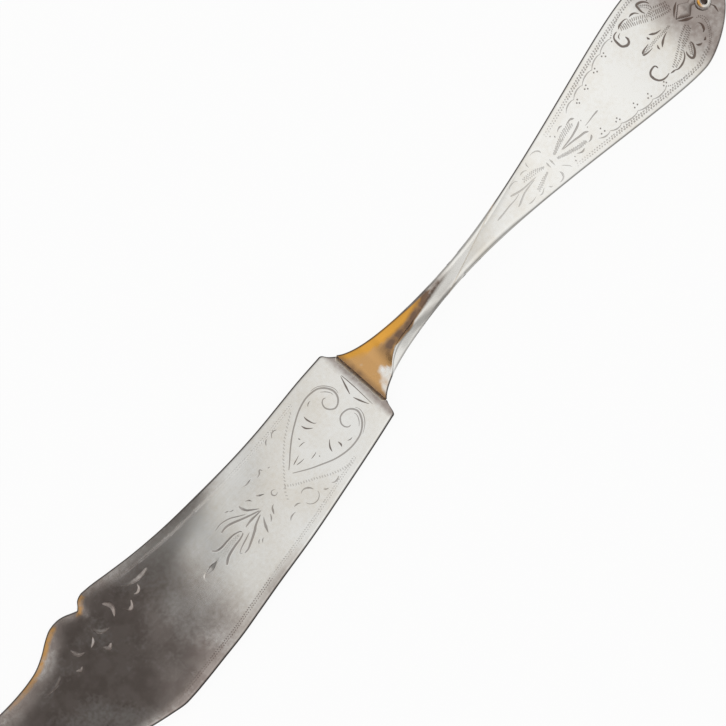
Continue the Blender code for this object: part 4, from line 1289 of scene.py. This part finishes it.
class KNIFE_OT_blade(bpy.types.Operator):
    """Blade of silver-plated sheet, engraved on its front, with a tongue for the neck"""

    bl_idname = "knife.blade"
    bl_label = "Blade"

    GRID = 1.0
    # Dark sides, partly tarnish and partly painted shade: how they fade inwards from the rim, and grow over
    # shares of the thickness.
    SIDE_FADE = (0.12, 0.4)
    SIDE_RISE = (0.4, 0.75)
    # Brown film, with painted shade beside the root solder and painted dark reflection over the point: past
    # the root line, inwards from a rim, where the rims' film grows and its strength, and the shares of the
    # length over which it covers the point.
    ROOT_FILM_AND_SHADE = (0.7, 2.4)
    RIM_FILM = (0.3, 3.2)
    RIM_FILM_GROWS = (20, 36)
    RIM_FILM_SHARE = 0.62
    POINT_FILM_AND_REFLECTION = (0.36, 0.6)
    # Rubbed spine, with a painted amber reflection where it faces one way: shares of the length where it
    # begins, the way it faces, from none to full, and its reach.
    RUBBED_FROM = (0.60, 0.645)
    AMBER_REFLECTION_WAY = (0.82, 0.58)
    AMBER_REFLECTION_FACING = (0.72, 0.9)
    RUBBED_REACH = (0.45, 1.5)

    def execute(self, context):
        share = blade_stations()
        section = blade_sections(share)
        rings, count = section.shape[:2]
        skin = Skin()
        across = section[..., 0]
        gap = np.minimum(across.max(axis=1, keepdims=True) - across,
                         across - across.min(axis=1, keepdims=True))
        # Dark sides: painted shade, with some tarnish.
        rise = rising(section[..., 1] / size.blade_thick, *self.SIDE_RISE)
        sides = (SIDE_LEAST + (1 - SIDE_LEAST) * rise) * falling(gap, *self.SIDE_FADE)
        first = skin.add(placed(-share * size.blade_length, section), stain=sides)
        skin.loft(first, rings, count, count - 2)
        edge_rim = first + count * np.arange(1, rings + 1) - 1
        skin.engrave([*edge_rim[::-1], *(edge_rim - 1)], self.engraving(), self.GRID, self.front)
        skin.paint = {"tarnish": self.tarnish, "wear": self.wear}
        skin.fill(range(first + (rings - 1) * count, first + rings * count))
        self.tongue(skin, first, count)
        finish_piece(skin.mesh("blade"), "blade", "silver_plate")
        return {"FINISHED"}

    def front(self, points):
        share = (ROOT_X - points[:, 0]) / size.blade_length
        return front_height(share, points[:, 1] - AXIS_Y, *blade_limits(share))

    def tarnish(self, points):
        """Brown film and painted shade beside the solder, brown film along each rim, and brown film with
        painted dark reflection growing from the middle to the point.
        """
        far = ROOT_X - points[:, 0]
        root = falling(far, *self.ROOT_FILM_AND_SHADE)
        low, high = blade_limits(far / size.blade_length)
        gap = np.minimum(high + AXIS_Y - points[:, 1], points[:, 1] - AXIS_Y - low)
        rims = self.RIM_FILM_SHARE * falling(gap, *self.RIM_FILM)
        rims *= rising(far, *self.RIM_FILM_GROWS)
        point = rising(far, *(share * size.blade_length for share in self.POINT_FILM_AND_REFLECTION))
        return np.maximum.reduce((root, rims, point))

    def wear(self, points):
        """How far the plate is rubbed off along the spine, with a painted amber reflection where it faces one
        way: most where it turns to the point.
        """
        share = np.linspace(self.RUBBED_FROM[0], 1, CURVE_POINTS)
        line = np.stack((ROOT_X - share * size.blade_length, AXIS_Y + blade_limits(share)[1]), axis=1)
        run = np.gradient(line, axis=0)
        along, across = self.AMBER_REFLECTION_WAY
        facing = (along * -run[:, 0] + across * -run[:, 1]) / norm(run, axis=1)
        amount = rising(facing, *self.AMBER_REFLECTION_FACING) * rising(share, *self.RUBBED_FROM)
        found = np.zeros(len(points))
        near = np.flatnonzero((points[:, 0] < line[0, 0]) & (points[:, 1] > AXIS_Y))
        gap = Cuts.nearest(points[near, :2], line, np.zeros(len(line)))[0]
        found[near] = amount[gap.argmin(axis=1)] * falling(gap.min(axis=1), *self.RUBBED_REACH)
        return found

    def engraving(self):
        cuts = Cuts(BLADE_SEED)
        for motif in BLADE_MOTIFS:
            cuts.strokes(*motif)
        for field in BLADE_HATCH:
            cuts.hatch(*field)
        # The dark half of the blade fills the zigzag with tarnish.
        for side, span, inset in ((1, SPINE_BORDER_SPAN, BLADE_BORDER), (0, EDGE_BORDER_SPAN, -BLADE_BORDER)):
            line = border_line(span, lambda x: blade_limits(-x / size.blade_length)[side], inset)
            turn = np.searchsorted(line[:, 0], BLADE_DARKENS)
            cuts.border(*BRIGHT_ZIGZAG, line[turn:], *BLADE_ZIGZAG)
            cuts.border(*DARK_ZIGZAG, line[:turn + 1], *BLADE_ZIGZAG)
        return cuts

    def tongue(self, skin, first, count):
        """Closes the root end round the tongue, and adds the tongue."""
        half, low = size.tongue_width / 2, size.tongue_dressing
        high = size.blade_thick - size.tongue_dressing
        rim = np.concatenate(skin.points)[first:first + count]
        corners = np.array(((-half, low), (half, low), (half, high), (-half, high))) + (AXIS_Y, 0)
        outer = [Vector((p[1], p[2])) for p in rim]
        coords = outer + [Vector(c) for c in corners]
        done = delaunay_2d_cdt(coords, ring_edges(0, count) + ring_edges(count, 4), [], 1, MERGED, True)
        base = skin.add([(ROOT_X, y, z) for y, z in corners])
        tip = skin.add([(ROOT_X + size.tongue_length, y, z) for y, z in corners])
        spots = [first + min(ids) if min(ids) < count else base + min(ids) - count for ids in done[3]]
        for face in done[2]:
            if not all(spots[i] >= base for i in face):
                skin.fill(spots[i] for i in face)
        for i, j in ring_edges(0, 4):
            skin.fill((base + i, base + j, tip + j, tip + i))
        skin.fill(range(tip, tip + 4))


def neck_stations():
    return np.arange(size.fit_gap, size.flare_length + NECK_PAST, NECK_STEP)


class KNIFE_OT_neck(bpy.types.Operator):
    """Square neck with a quarter turn, worn through to brass, and pocketed at the back for the tongue"""

    bl_idname = "knife.neck"
    bl_label = "Twisted neck"

    # Lines by millimetres past the root line and shares of the half width: lower and upper rim of the bare
    # brass with its painted amber reflection, rim of the pale patch by the root, and the ridge below the
    # brown stain and painted shade.
    BRASS_LOW = ((1, 0.7), (3.7, 0.62), (7, 0.4), (9.2, 0.3), (11.3, 0.28), (14.5, 0.42), (18, 0.52))
    BRASS_HIGH = ((1, 1.2), (9, 1.05), (14, 0.84), (18, 0.7))
    PALE = ((0.6, -1.0), (1.1, -0.78), (3.4, -0.3), (4.4, -0.55), (5.2, -1.1))
    RIDGE = ((3.0, -1.1), (4.3, -0.9), (7.6, -0.3), (9.8, -0.42), (12, -0.45), (13, -0.25), (16, -0.12),
             (19, 0.05), (22, 0.2))
    # How far the brown stain and painted shade spread up over the brass past its middle.
    SPREADS = ((12, 0), (18, 0.4))
    # Room in front of the root line for the tool that cuts the pocket.
    TOOL_ROOM = 2

    def execute(self, context):
        x = neck_stations()
        section = shank_rings(x)
        skin = Skin()
        skin.closed_loft(placed(x, section), **self.rubbing(x, section))
        bm = skin.mesh("twisted_neck")
        half_split(bm, SCARF_HALF * size.solder_film + SCARF_CLEARANCE, True)
        piece = finish_piece(bm, "twisted_neck", "worn_plate")
        cut_away(piece, self.pocket())
        return {"FINISHED"}

    def rubbing(self, x, section):
        """Bare brass on the side that turns to the spine, with a painted amber reflection; brown stain with
        painted shade on the corner below; painted shadow above the brass, painted shade at the root and on
        the side towards the edge; sides darkened with painted shade and some tarnish.
        """
        far = np.broadcast_to(x[:, None], section.shape[:2])
        lines = (self.BRASS_LOW, self.BRASS_HIGH, self.PALE, self.RIDGE, self.SPREADS)
        low, high, pale, ridge, up = (np.interp(far, *zip(*line)) for line in lines)
        share = section[..., 0] / half_width(far)
        front = rising(section[..., 1] - middle(far), -0.6, 0.0)
        # Bare brass, with a painted amber reflection on the side that faces the spine.
        amber = rising(share, low - 0.16, low + 0.1) * falling(share, high - 0.12, high + 0.1)
        amber *= falling(far, 15.5, 20.5)
        tan = 0.35 + 0.65 * rising(share, pale - 0.14, pale + 0.2)
        tan *= rising(share, ridge, ridge + 0.1)
        tan *= falling(far, 8.5, 11.5)
        # Brown stain along the ridge, partly painted shade.
        brown = rising(share, ridge - 0.05, ridge + 0.3)
        brown *= falling(share, low - 0.34 + up, low + 0.3 + up)
        brown *= rising(far, 3.8, 8.5) * falling(far, 18, 25)
        # Painted shadow above the brass, and painted shade at the root by the solder.
        shadow = 0.8 * rising(share, high - 0.06, high + 0.1) * falling(far, 17, 23)
        root = 0.7 * falling(far, 0.1, 1.5)
        # Painted shade on the narrow sides, with some tarnish.
        sides = np.sqrt(dark_sides(far, section)) * (0.7 + 0.2 * falling(far, 16, 21))
        # Painted shade on the side towards the edge.
        dull = 0.32 * falling(share, -0.7, 0.1)
        dull *= rising(far, 13, 16) * falling(far, 20, 25)
        wear = np.maximum.reduce((amber, 0.5 * tan, 0.65 * brown * falling(far, 14, 19)))
        stain = np.maximum.reduce((1.15 * brown, shadow, root, dull))
        return {"wear": front * wear, "stain": front * stain, "tarnish": sides}

    def pocket(self):
        """Tool for the pocket that takes the tongue and its film of solder."""
        top = size.blade_thick + 2 * size.fit_gap + size.solder_film
        half = size.tongue_width / 2 + size.fit_gap
        end = size.tongue_length + size.fit_gap
        low = Vector((ROOT_X - self.TOOL_ROOM, AXIS_Y - half, -top)) * MM
        high = Vector((ROOT_X + end, AXIS_Y + half, top)) * MM
        bm = bmesh.new()
        bmesh.ops.create_cube(bm, size=1)
        bm.transform(Matrix.Translation((low + high) / 2) @ Matrix.Diagonal((*(high - low), 1)))
        return bm


class KNIFE_OT_scarf_solder(bpy.types.Operator):
    """Film of hard solder in the scarf between neck and handle"""

    bl_idname = "knife.scarf_solder"
    bl_label = "Scarf solder"

    # How far the solder is dressed bright, and what of that its sides lose to painted shade with some
    # tarnish.
    DRESSED = 0.9
    SIDE_LOSS = 0.65

    def execute(self, context):
        x = neck_stations()
        x = x[x > size.flat_root]
        section = shank_rings(x)
        skin = Skin()
        dressed = self.DRESSED - self.SIDE_LOSS * np.sqrt(dark_sides(x[:, None], section))
        skin.closed_loft(placed(x, section), wear=dressed)
        bm = skin.mesh("scarf_solder")
        half_split(bm, -SCARF_HALF * size.solder_film, True)
        half_split(bm, SCARF_HALF * size.solder_film, False)
        finish_piece(bm, "scarf_solder", "solder")
        return {"FINISHED"}


def lug_radius():
    return size.eye_radius + 2 * size.fit_gap


def rivet_hole():
    """Radius of a rivet's hole."""
    return size.rivet_bore + size.rivet_wall + size.fit_gap


def rosette_place():
    """Matrix on the handle's front at the rivets: local X along the handle, local Z out of its front."""
    x, step = shank_length() - size.rosette_inset, 0.25
    spots = x + step * np.array((-1, 0, 1))
    front = middle(spots) + half_thickness(spots)
    tilt = Matrix.Rotation(-math.atan((front[2] - front[0]) / (2 * step)), 4, "Y")
    return Matrix.Translation((ROOT_X + x, AXIS_Y, front[1])) @ tilt


class KNIFE_OT_handle(bpy.types.Operator):
    """Flat arched handle of silver plate, engraved on its front and drilled for the rosette's rivets"""

    bl_idname = "knife.handle"
    bl_label = "Handle"

    GRID = 0.9
    # The side towards the cutting edge takes a smaller share of the painted shade on the sides. The end's
    # grey, tarnish with painted dark reflection, grows between these, from the end.
    EDGE_SIDE_SHARE = 0.6
    END_GREY = (16.5, 8)

    def execute(self, context):
        waist, fill, last, tip, step = size.flare_length, SIDE_POINTS, shank_length(), 6, 0.4
        plain = np.arange(waist - 12, waist + 8, step)
        body = np.arange(plain[-1] + step, last - tip, 0.45)
        end = last - tip * (1 - np.linspace(0, 1, 60)[1:-1]) ** 2
        x = np.concatenate((plain, body, [last - tip], end))
        section = shank_rings(x)
        rings, count = section.shape[:2]
        split = len(plain)
        skin = Skin()
        # Painted shade with some tarnish on the sides, less of it on the side towards the cutting edge.
        rubbed = np.where(section[..., 0] < 0, self.EDGE_SIDE_SHARE, 1.0)
        first = skin.add(placed(x, section), stain=rubbed * dark_sides(x[:, None], section))
        skin.loft(first, split + 1, count)
        turned = first + split * count
        skin.loft(turned, rings - split, count, count - fill)
        skin.fill(range(first, first + count))
        end = first + (rings - 1) * count
        skin.fill(list(range(end, end + count - fill + 1)) + [end + count - 1])
        high_rim = turned + count * np.arange(1, rings - split + 1) - 1
        low_rim = high_rim - fill + 1
        border = [*low_rim, *high_rim[::-1], *range(high_rim[0] - 1, low_rim[0], -1)]
        skin.engrave(border, self.engraving(), self.GRID, self.front)
        skin.paint["tarnish"] = self.tarnish
        bm = skin.mesh("handle")
        half_split(bm, -SCARF_HALF * size.solder_film - SCARF_CLEARANCE, False)
        piece = finish_piece(bm, "handle", "silver_plate")
        cut_away(piece, self.drills())
        return {"FINISHED"}

    def engraving(self):
        cuts = Cuts(HANDLE_SEED)
        for motif in HANDLE_MOTIFS:
            cuts.strokes(*motif)
        for side, points in zip((1, -1), SCALLOPS):
            for a, b in zip(np.array(points), np.array(points[1:])):
                bow = [a + (b - a) * t + (SCALLOP_SHIFT, side * high) for t, high in SCALLOP_BOW]
                cuts.stroke(*SCALLOP_CUT, *bow)
        for dot in DOTS:
            cuts.mark(DOT_DIRT, *dot, *DOT_SHAPE)
        for field in HANDLE_HATCH:
            cuts.hatch(*field)
        rim = np.concatenate((border_line(HANDLE_BORDER_SPAN, half_width, HANDLE_BORDER), HANDLE_BORDER_END))
        for side in (1, -1):
            line, arc, row = (np.array(points) * (1, side) for points in (rim, STIPPLED_ARC, STIPPLED_END))
            cuts.border(*WORN_ZIGZAG, line, *HANDLE_ZIGZAG)
            for inset in (-STIPPLE_APART / 2, STIPPLE_APART / 2):
                cuts.hatch(*FINE_ARC, arc + (inset, 0), arc + (inset, 0))
            cuts.hatch(*FINE_ROW, row, row)
        return cuts

    def front(self, points):
        along = points[:, 0] - ROOT_X
        return middle(along) + crowned(along, points[:, 1] - AXIS_Y, rounded_half(along))

    def tarnish(self, points):
        """Grey that grows towards the handle's end: tarnish, with painted dark reflection where the end
        curves down.
        """
        far = points[:, 0] - ROOT_X
        return rising(far, *(shank_length() - before for before in self.END_GREY))

    def drills(self):
        """Tools for the two rivet holes."""
        bm = bmesh.new()
        radius = rivet_hole()
        for side in (1, -1):
            place = rosette_place() @ Matrix.Translation((0, side * size.eye_spacing / 2, 0))
            made = bmesh.ops.create_cone(bm, cap_ends=True, segments=40, depth=12,
                                         radius1=radius, radius2=radius)
            bmesh.ops.transform(bm, matrix=Matrix.Scale(MM, 4) @ place, verts=made["verts"])
        return bm


class KNIFE_OT_root_solder(bpy.types.Operator):
    """Hollow fillet of hard solder across the blade's face at the root of the neck"""

    bl_idname = "knife.root_solder"
    bl_label = "Root solder"

    FOLD = 40
    SEED = 3
    # Strength of the waves in the rim, clearances over the blade and below the neck's top, thickness at the
    # thin rim, share filled of the gap to the neck, and how hollow the fillet is.
    WAVES = 0.03
    BLADE_GAP = 0.01
    TOP_GAP = 0.02
    RIM_THICK = 0.02
    FILLED = 0.9
    HOLLOW = 0.75

    def execute(self, context):
        random = np.random.default_rng(self.SEED)
        half = size.root_width / 2 - size.fit_gap
        y = half * np.sin(np.linspace(-1, 1, 90) * math.pi / 2)
        wobble = random.normal(0, self.WAVES, (4, 2))
        ripple = sum(a * np.sin((k + 1) * 0.6 * y + 90 * b) for k, (a, b) in enumerate(wobble))
        close = np.clip((half - np.abs(y)) / 0.5, 0.02, 1) ** 0.5
        wide = size.seam_width * (1.05 + ripple) * close
        low, top = size.blade_thick + self.BLADE_GAP, size.root_thick - self.TOP_GAP
        tall = (top - low) * close
        face = self.FILLED * size.fit_gap
        turn = np.linspace(0, 1, 12)
        fall = 1 - np.sin(turn * math.pi / 2) ** self.HOLLOW
        rings = []
        for across, out, high in zip(y, wide, tall):
            arc = [(face - (out + face) * t, across, low + self.RIM_THICK + high * f)
                   for t, f in zip(turn, fall)]
            rings.append(arc + [(-out, across, low), (face, across, low)])
        points = np.array(rings) + (ROOT_X, AXIS_Y, 0)
        skin = Skin()
        dressed = np.concatenate((turn ** 2, (1, 0)))
        skin.closed_loft(points, wear=np.tile(dressed, len(points)))
        finish_piece(skin.mesh("root_solder"), "root_solder", "solder", self.FOLD)
        return {"FINISHED"}


def from_eyes(points):
    """Distance of each point from the nearer rivet's middle."""
    eyes = ((0, side * size.eye_spacing / 2) for side in (1, -1))
    return np.min([norm(points - eye, axis=1) for eye in eyes], axis=0)


def rosette_outline():
    """Closed line round leaf, lugs and petal. Leaf and petal are widest at a share of their length."""
    eye, lug, widest = size.eye_spacing / 2, lug_radius(), 0.6
    upper = [(-size.leaf_length, 0), (-widest * size.leaf_length, size.leaf_width / 2),
             (-1.5 * size.eye_radius, 0.3 * eye)]
    upper += [(lug * math.cos(a), eye + lug * math.sin(a)) for a in np.radians(np.linspace(215, -35, 30))]
    upper += [(widest * size.petal_length, size.petal_width / 2), (size.petal_length, 0)]
    corners = np.array(upper + [(x, -y) for x, y in reversed(upper[1:-1])])
    found, pitch = [], 0.12
    for a, b in zip(corners, np.roll(corners, -1, axis=0)):
        count = max(2, int(norm(b - a) / pitch))
        found.append(a + (b - a) * np.linspace(0, 1, count, endpoint=False)[:, None])
    return np.concatenate(found)[::-1]


def rosette_plan(outline):
    """Points and triangles that fill the rosette's outline but for the rivet holes."""
    radius, pitch, room = rivet_hole(), 0.13, 0.07
    turn = np.radians(np.arange(0, 360, 10))
    circle = radius * np.stack((np.cos(turn), np.sin(turn)), axis=1)
    holes = [circle + (0, side * size.eye_spacing / 2) for side in (1, -1)]
    grid = np.stack(np.meshgrid(np.arange(-6, 5, pitch), np.arange(-4, 4, pitch)), axis=2).reshape(-1, 2)
    grid = grid[inside(grid, outline)]
    grid = grid[(distance_to(outline, grid) > room) & (from_eyes(grid) > radius + room)]
    edges, start = [], 0
    for loop in [outline] + holes:
        edges += ring_edges(start, len(loop))
        start += len(loop)
    coords = np.concatenate([outline] + holes + [grid])
    done = delaunay_2d_cdt([Vector(p) for p in coords], edges, [], 1, TINY, True)
    points = np.array([tuple(v) for v in done[0]])
    faces = np.array([tuple(f) for f in done[2]])
    middles = points[faces].mean(axis=1)
    return points, faces[inside(middles, outline) & (from_eyes(middles) > 0.99 * radius)]


class KNIFE_OT_rosette(bpy.types.Operator):
    """Chiselled rosette on the handle's end: a ridged leaf, two lugs for the rivets and a petal"""

    bl_idname = "knife.rosette"
    bl_label = "Terminal rosette"

    # Heights over the handle: underside, and rim and rise inwards of the lugs and of the leaves.
    UNDERSIDE = 0.02
    LUG_RISE = (0.2, 1.1)
    LEAF_RISE = (0.22, 0.1)
    # Tarnish over all, painted shade over the leaf's lower half, and dirt along the rims, with how far they
    # reach.
    TARNISH = 0.8
    LEAF_SHADE = (0.85, 0.75)
    RIM_DIRT = (0.9, 0.05)

    def execute(self, context):
        outline = rosette_outline()
        points, faces = rosette_plan(outline)
        depth = distance_to(outline, points)
        on_lug = from_eyes(points) < lug_radius() + 0.1
        (lug_rim, lug_rise), (leaf_rim, leaf_rise) = self.LUG_RISE, self.LEAF_RISE
        top = np.where(on_lug, np.minimum(lug_rim + lug_rise * depth, size.rosette_thick),
                       leaf_rim + leaf_rise * depth)
        (shade, reach), (line, wide) = self.LEAF_SHADE, self.RIM_DIRT
        # Painted shade darkens the leaf's lower half; dirt lines the rims.
        dirt = np.where((points[:, 1] < 0) & ~on_lug, shade * falling(depth, 0, reach), line * (depth < wide))
        place = rosette_place()
        skin = Skin()
        upper, under = (skin.add([place @ Vector(p) for p in np.column_stack((points, height))],
                                 cut=dirt, tarnish=self.TARNISH)
                        for height in (top, np.full(len(points), self.UNDERSIDE)))
        sides = set()
        for face in faces.tolist():
            skin.fill(upper + i for i in face)
            skin.fill(under + i for i in face[::-1])
            sides.update(zip(face, face[1:] + face[:1]))
        for a, b in sorted(sides):
            if (b, a) not in sides:
                skin.fill((upper + b, upper + a, under + a, under + b))
        finish_piece(skin.mesh("terminal_rosette"), "terminal_rosette", "silver_plate")
        return {"FINISHED"}


class KNIFE_OT_rivets(bpy.types.Operator):
    """Two hollow silver rivets that hold the rosette, with round ring heads"""

    bl_idname = "knife.rivets"
    bl_label = "Rosette rivets"

    FOLD = 35
    STEPS = 48
    # Clearances over the rosette and under the handle, and the height of the head's straight rim.
    ROSETTE_GAP = 0.02
    HANDLE_GAP = 0.03
    RIM_HEIGHT = 0.12
    # The clenched end: how far it spreads over the shaft, and its eased corners.
    TAIL_SPREAD = 0.15
    TAIL_EASE = 0.1
    # Towards this angle the head is rubbed through to brass and carries a painted amber reflection.
    WORN_AND_LIT_TOWARDS = math.radians(150)

    def execute(self, context):
        steps = self.STEPS
        bore, shaft, rim = size.rivet_bore, size.rivet_bore + size.rivet_wall, size.eye_radius
        low = size.rosette_thick + self.ROSETTE_GAP
        back = -2 * half_thickness(shank_length() - size.rosette_inset) - self.HANDLE_GAP
        centre, reach = (bore + rim) / 2, (rim - bore) / 2
        head = [(centre + reach * math.cos(a),
                 low + self.RIM_HEIGHT + (size.rivet_head - self.RIM_HEIGHT) * math.sin(a))
                for a in np.radians(np.linspace(-10, 190, 16))]
        flared, tail, ease = shaft + self.TAIL_SPREAD, back - size.rivet_tail, self.TAIL_EASE
        profile = ([(flared, back), (shaft, back), (shaft, low), (rim, low)] + head
                   + [(bore, low - ease), (bore, (low + back) / 2), (bore, back - ease), (bore + ease, tail),
                      (flared - ease / 2, tail), (flared, back - 0.06)])
        # The bore is darkened: tarnish with painted shade.
        dark = np.array([1.0 if r < bore + 0.02 and h < low + 0.15 else 0.0 for r, h in profile])
        high = np.array([1.0 if h > low + 0.05 and r > centre - 0.1 else 0.0 for r, h in profile])
        angle = np.radians(np.arange(steps) * 360 / steps)
        facing = np.clip(np.cos(angle - self.WORN_AND_LIT_TOWARDS), 0, 1) ** 2
        wear = facing[:, None] * high
        for side, word in ((1, "spine"), (-1, "edge")):
            place = rosette_place() @ Matrix.Translation((0, side * size.eye_spacing / 2, 0))
            skin = Skin()
            rings = [[place @ Vector((r * math.cos(a), r * math.sin(a), h)) for r, h in profile]
                     for a in angle]
            first = skin.add(np.array(rings), stain=np.tile(dark, steps), wear=wear)
            count = len(profile)
            skin.loft(first, steps, count)
            end = first + (steps - 1) * count
            for i, j in ring_edges(0, count):
                skin.fill((end + i, end + j, first + j, first + i))
            name = "rosette_rivet_" + word
            finish_piece(skin.mesh(name), name, "rivet_silver", self.FOLD)
        return {"FINISHED"}


class KNIFE_OT_stage(bpy.types.Operator):
    """Pale floor, soft studio light and a camera that looks straight down"""

    bl_idname = "knife.stage"
    bl_label = "Stage"

    # The picture's centre on the knife, from the engraver's zero, and the camera's turn.
    CENTRE = (-20.8, 1.4)
    TURN = math.radians(-48.71)
    # Halves of the floor's and the flag's sides, and their places.
    FLOOR_HALF = 4
    FLOOR_GAP = 0.02 * MM
    FLAG_HALF = 0.4
    FLAG_HEIGHT = 450 * MM
    # Brightness of the dome by its slope to the picture's left, and by its height.
    LEFTWARDS = ((-1, 0.75), (-0.3, 0.95), (-0.2, 1), (-0.05, 0.93), (0, 0.86), (0.07, 0.75), (0.3, 0.78),
                 (1, 0.95))
    UPWARDS = ((0, 0.65), (0.2, 0.56), (0.5, 0.6), (0.8, 0.8), (0.95, 1))
    LOWEST_SLOPE = 0.05
    DOME_STRENGTH = 1.08
    # Side and power of the softbox, and its place round zero: to the picture's right, up and high.
    LAMP_SIDE = 1.4
    LAMP_POWER = 1.6
    LAMP_PLACE = (-0.6, 0.6, 0.9)

    def execute(self, context):
        self.floor()
        self.world(context.scene)
        self.flag()
        self.lamp()
        self.camera(context.scene)
        context.scene.view_settings.view_transform = "Standard"
        return {"FINISHED"}

    def floor(self):
        floor = self.sheet("floor", self.FLOOR_HALF, 8, material("matt paper", matt_paper))
        floor.location = (0, 0, CAD_BOX[0].z - self.FLOOR_GAP)

    @staticmethod
    def sheet(name, half, parts, finish):
        """A flat square, by half its side and its parts along a side."""
        bm = bmesh.new()
        bmesh.ops.create_grid(bm, x_segments=parts, y_segments=parts, size=half)
        mesh = bpy.data.meshes.new(name)
        bm.to_mesh(mesh)
        bm.free()
        mesh.materials.append(finish)
        return add_object(name, mesh)

    def world(self, scene):
        """Soft dome, bright overhead and a little darker to the left of the picture."""
        world = bpy.data.worlds.new("studio dome")
        node = node_adder(world)
        place = node("TexCoord")
        parts = node("SeparateXYZ", {0: (place, "Generated")})
        height = node("Math", {0: (parts, "Z"), 1: self.LOWEST_SLOPE}, operation="MAXIMUM")
        left = (-math.cos(self.TURN), -math.sin(self.TURN), 0)
        run = node("VectorMath", {0: (place, "Generated"), 1: left}, operation="DOT_PRODUCT")
        tilt = node("Math", {0: (run, "Value"), 1: (height, "Value")}, operation="DIVIDE")
        spread = node("MapRange", {"Value": (tilt, "Value"), "From Min": -1.0, "From Max": 1.0})
        fall = node("ValToRGB", {"Fac": (spread, "Result")},
                    [((t + 1) / 2, v) for t, v in self.LEFTWARDS])
        dome = node("ValToRGB", {"Fac": (parts, "Z")}, self.UPWARDS)
        light = node("Mix", {0: 1.0, 6: (fall, "Color"), 7: (dome, "Color")}, data_type="RGBA",
                     blend_type="MULTIPLY")
        back = node("Background", {"Color": (light, "Result"), "Strength": self.DOME_STRENGTH})
        node("OutputWorld", {"Surface": (back, "Background")})
        scene.world = world

    def flag(self):
        """Dark felt with feathered edges over the left of the picture, which the blade's point mirrors."""
        flag = self.sheet("flag", self.FLAG_HALF, 1, material("dark felt, feathered", dark_felt))
        flag.location = self.over_centre(size.blade_thick * MM + self.FLAG_HEIGHT)
        flag.rotation_euler = (0, 0, self.TURN)

    def over_centre(self, height):
        """Place over the picture's centre."""
        x, y = self.CENTRE
        return ROOT_LINE + (ENGRAVERS_ZERO + x) * MM, AXIS + y * MM, height

    def lamp(self):
        lamp = bpy.data.lights.new("softbox", "AREA")
        lamp.shape = "SQUARE"
        lamp.size = self.LAMP_SIDE
        lamp.energy = self.LAMP_POWER
        holder = add_object("softbox", lamp)
        holder.location = Matrix.Rotation(self.TURN, 3, "Z") @ Vector(self.LAMP_PLACE)
        holder.rotation_euler = (-holder.location).to_track_quat("-Z", "Y").to_euler()

    def camera(self, scene):
        camera = bpy.data.cameras.new("camera")
        camera.sensor_width = 36
        camera.lens = camera.sensor_width * size.camera_height / size.picture_width
        camera.clip_start = 10 * MM
        holder = add_object("camera", camera)
        holder.location = self.over_centre((size.blade_thick + size.camera_height) * MM)
        holder.rotation_euler = (0, 0, self.TURN)
        scene.camera = holder


class KNIFE_PT_panel(bpy.types.Panel):
    """The knife's sizes, colours and pieces"""

    bl_label = "Butter knife"
    bl_idname = "KNIFE_PT_panel"
    bl_space_type = "VIEW_3D"
    bl_region_type = "UI"
    bl_category = "Knife"

    def draw(self, context):
        for operator in OPERATORS:
            self.layout.operator(operator.bl_idname)
        for group in (context.scene.knife_sizes, context.scene.knife_colours):
            for name in group.__annotations__:
                self.layout.prop(group, name)


OPERATORS = (KNIFE_OT_blade, KNIFE_OT_neck, KNIFE_OT_scarf_solder, KNIFE_OT_handle, KNIFE_OT_root_solder,
             KNIFE_OT_rosette, KNIFE_OT_rivets, KNIFE_OT_stage)
CLASSES = (KnifeSizes, KnifeColours) + OPERATORS + (KNIFE_PT_panel,)


def register():
    for made in CLASSES:
        bpy.utils.register_class(made)
    bpy.types.Scene.knife_sizes = bpy.props.PointerProperty(type=KnifeSizes)
    bpy.types.Scene.knife_colours = bpy.props.PointerProperty(type=KnifeColours)


def unregister():
    del bpy.types.Scene.knife_colours
    del bpy.types.Scene.knife_sizes
    for made in reversed(CLASSES):
        bpy.utils.unregister_class(made)


def main():
    register()
    bpy.ops.knife.blade()
    bpy.ops.knife.neck()
    bpy.ops.knife.scarf_solder()
    bpy.ops.knife.handle()
    bpy.ops.knife.root_solder()
    bpy.ops.knife.rosette()
    bpy.ops.knife.rivets()
    bpy.ops.knife.stage()


if __name__ == "__main__":
    main()
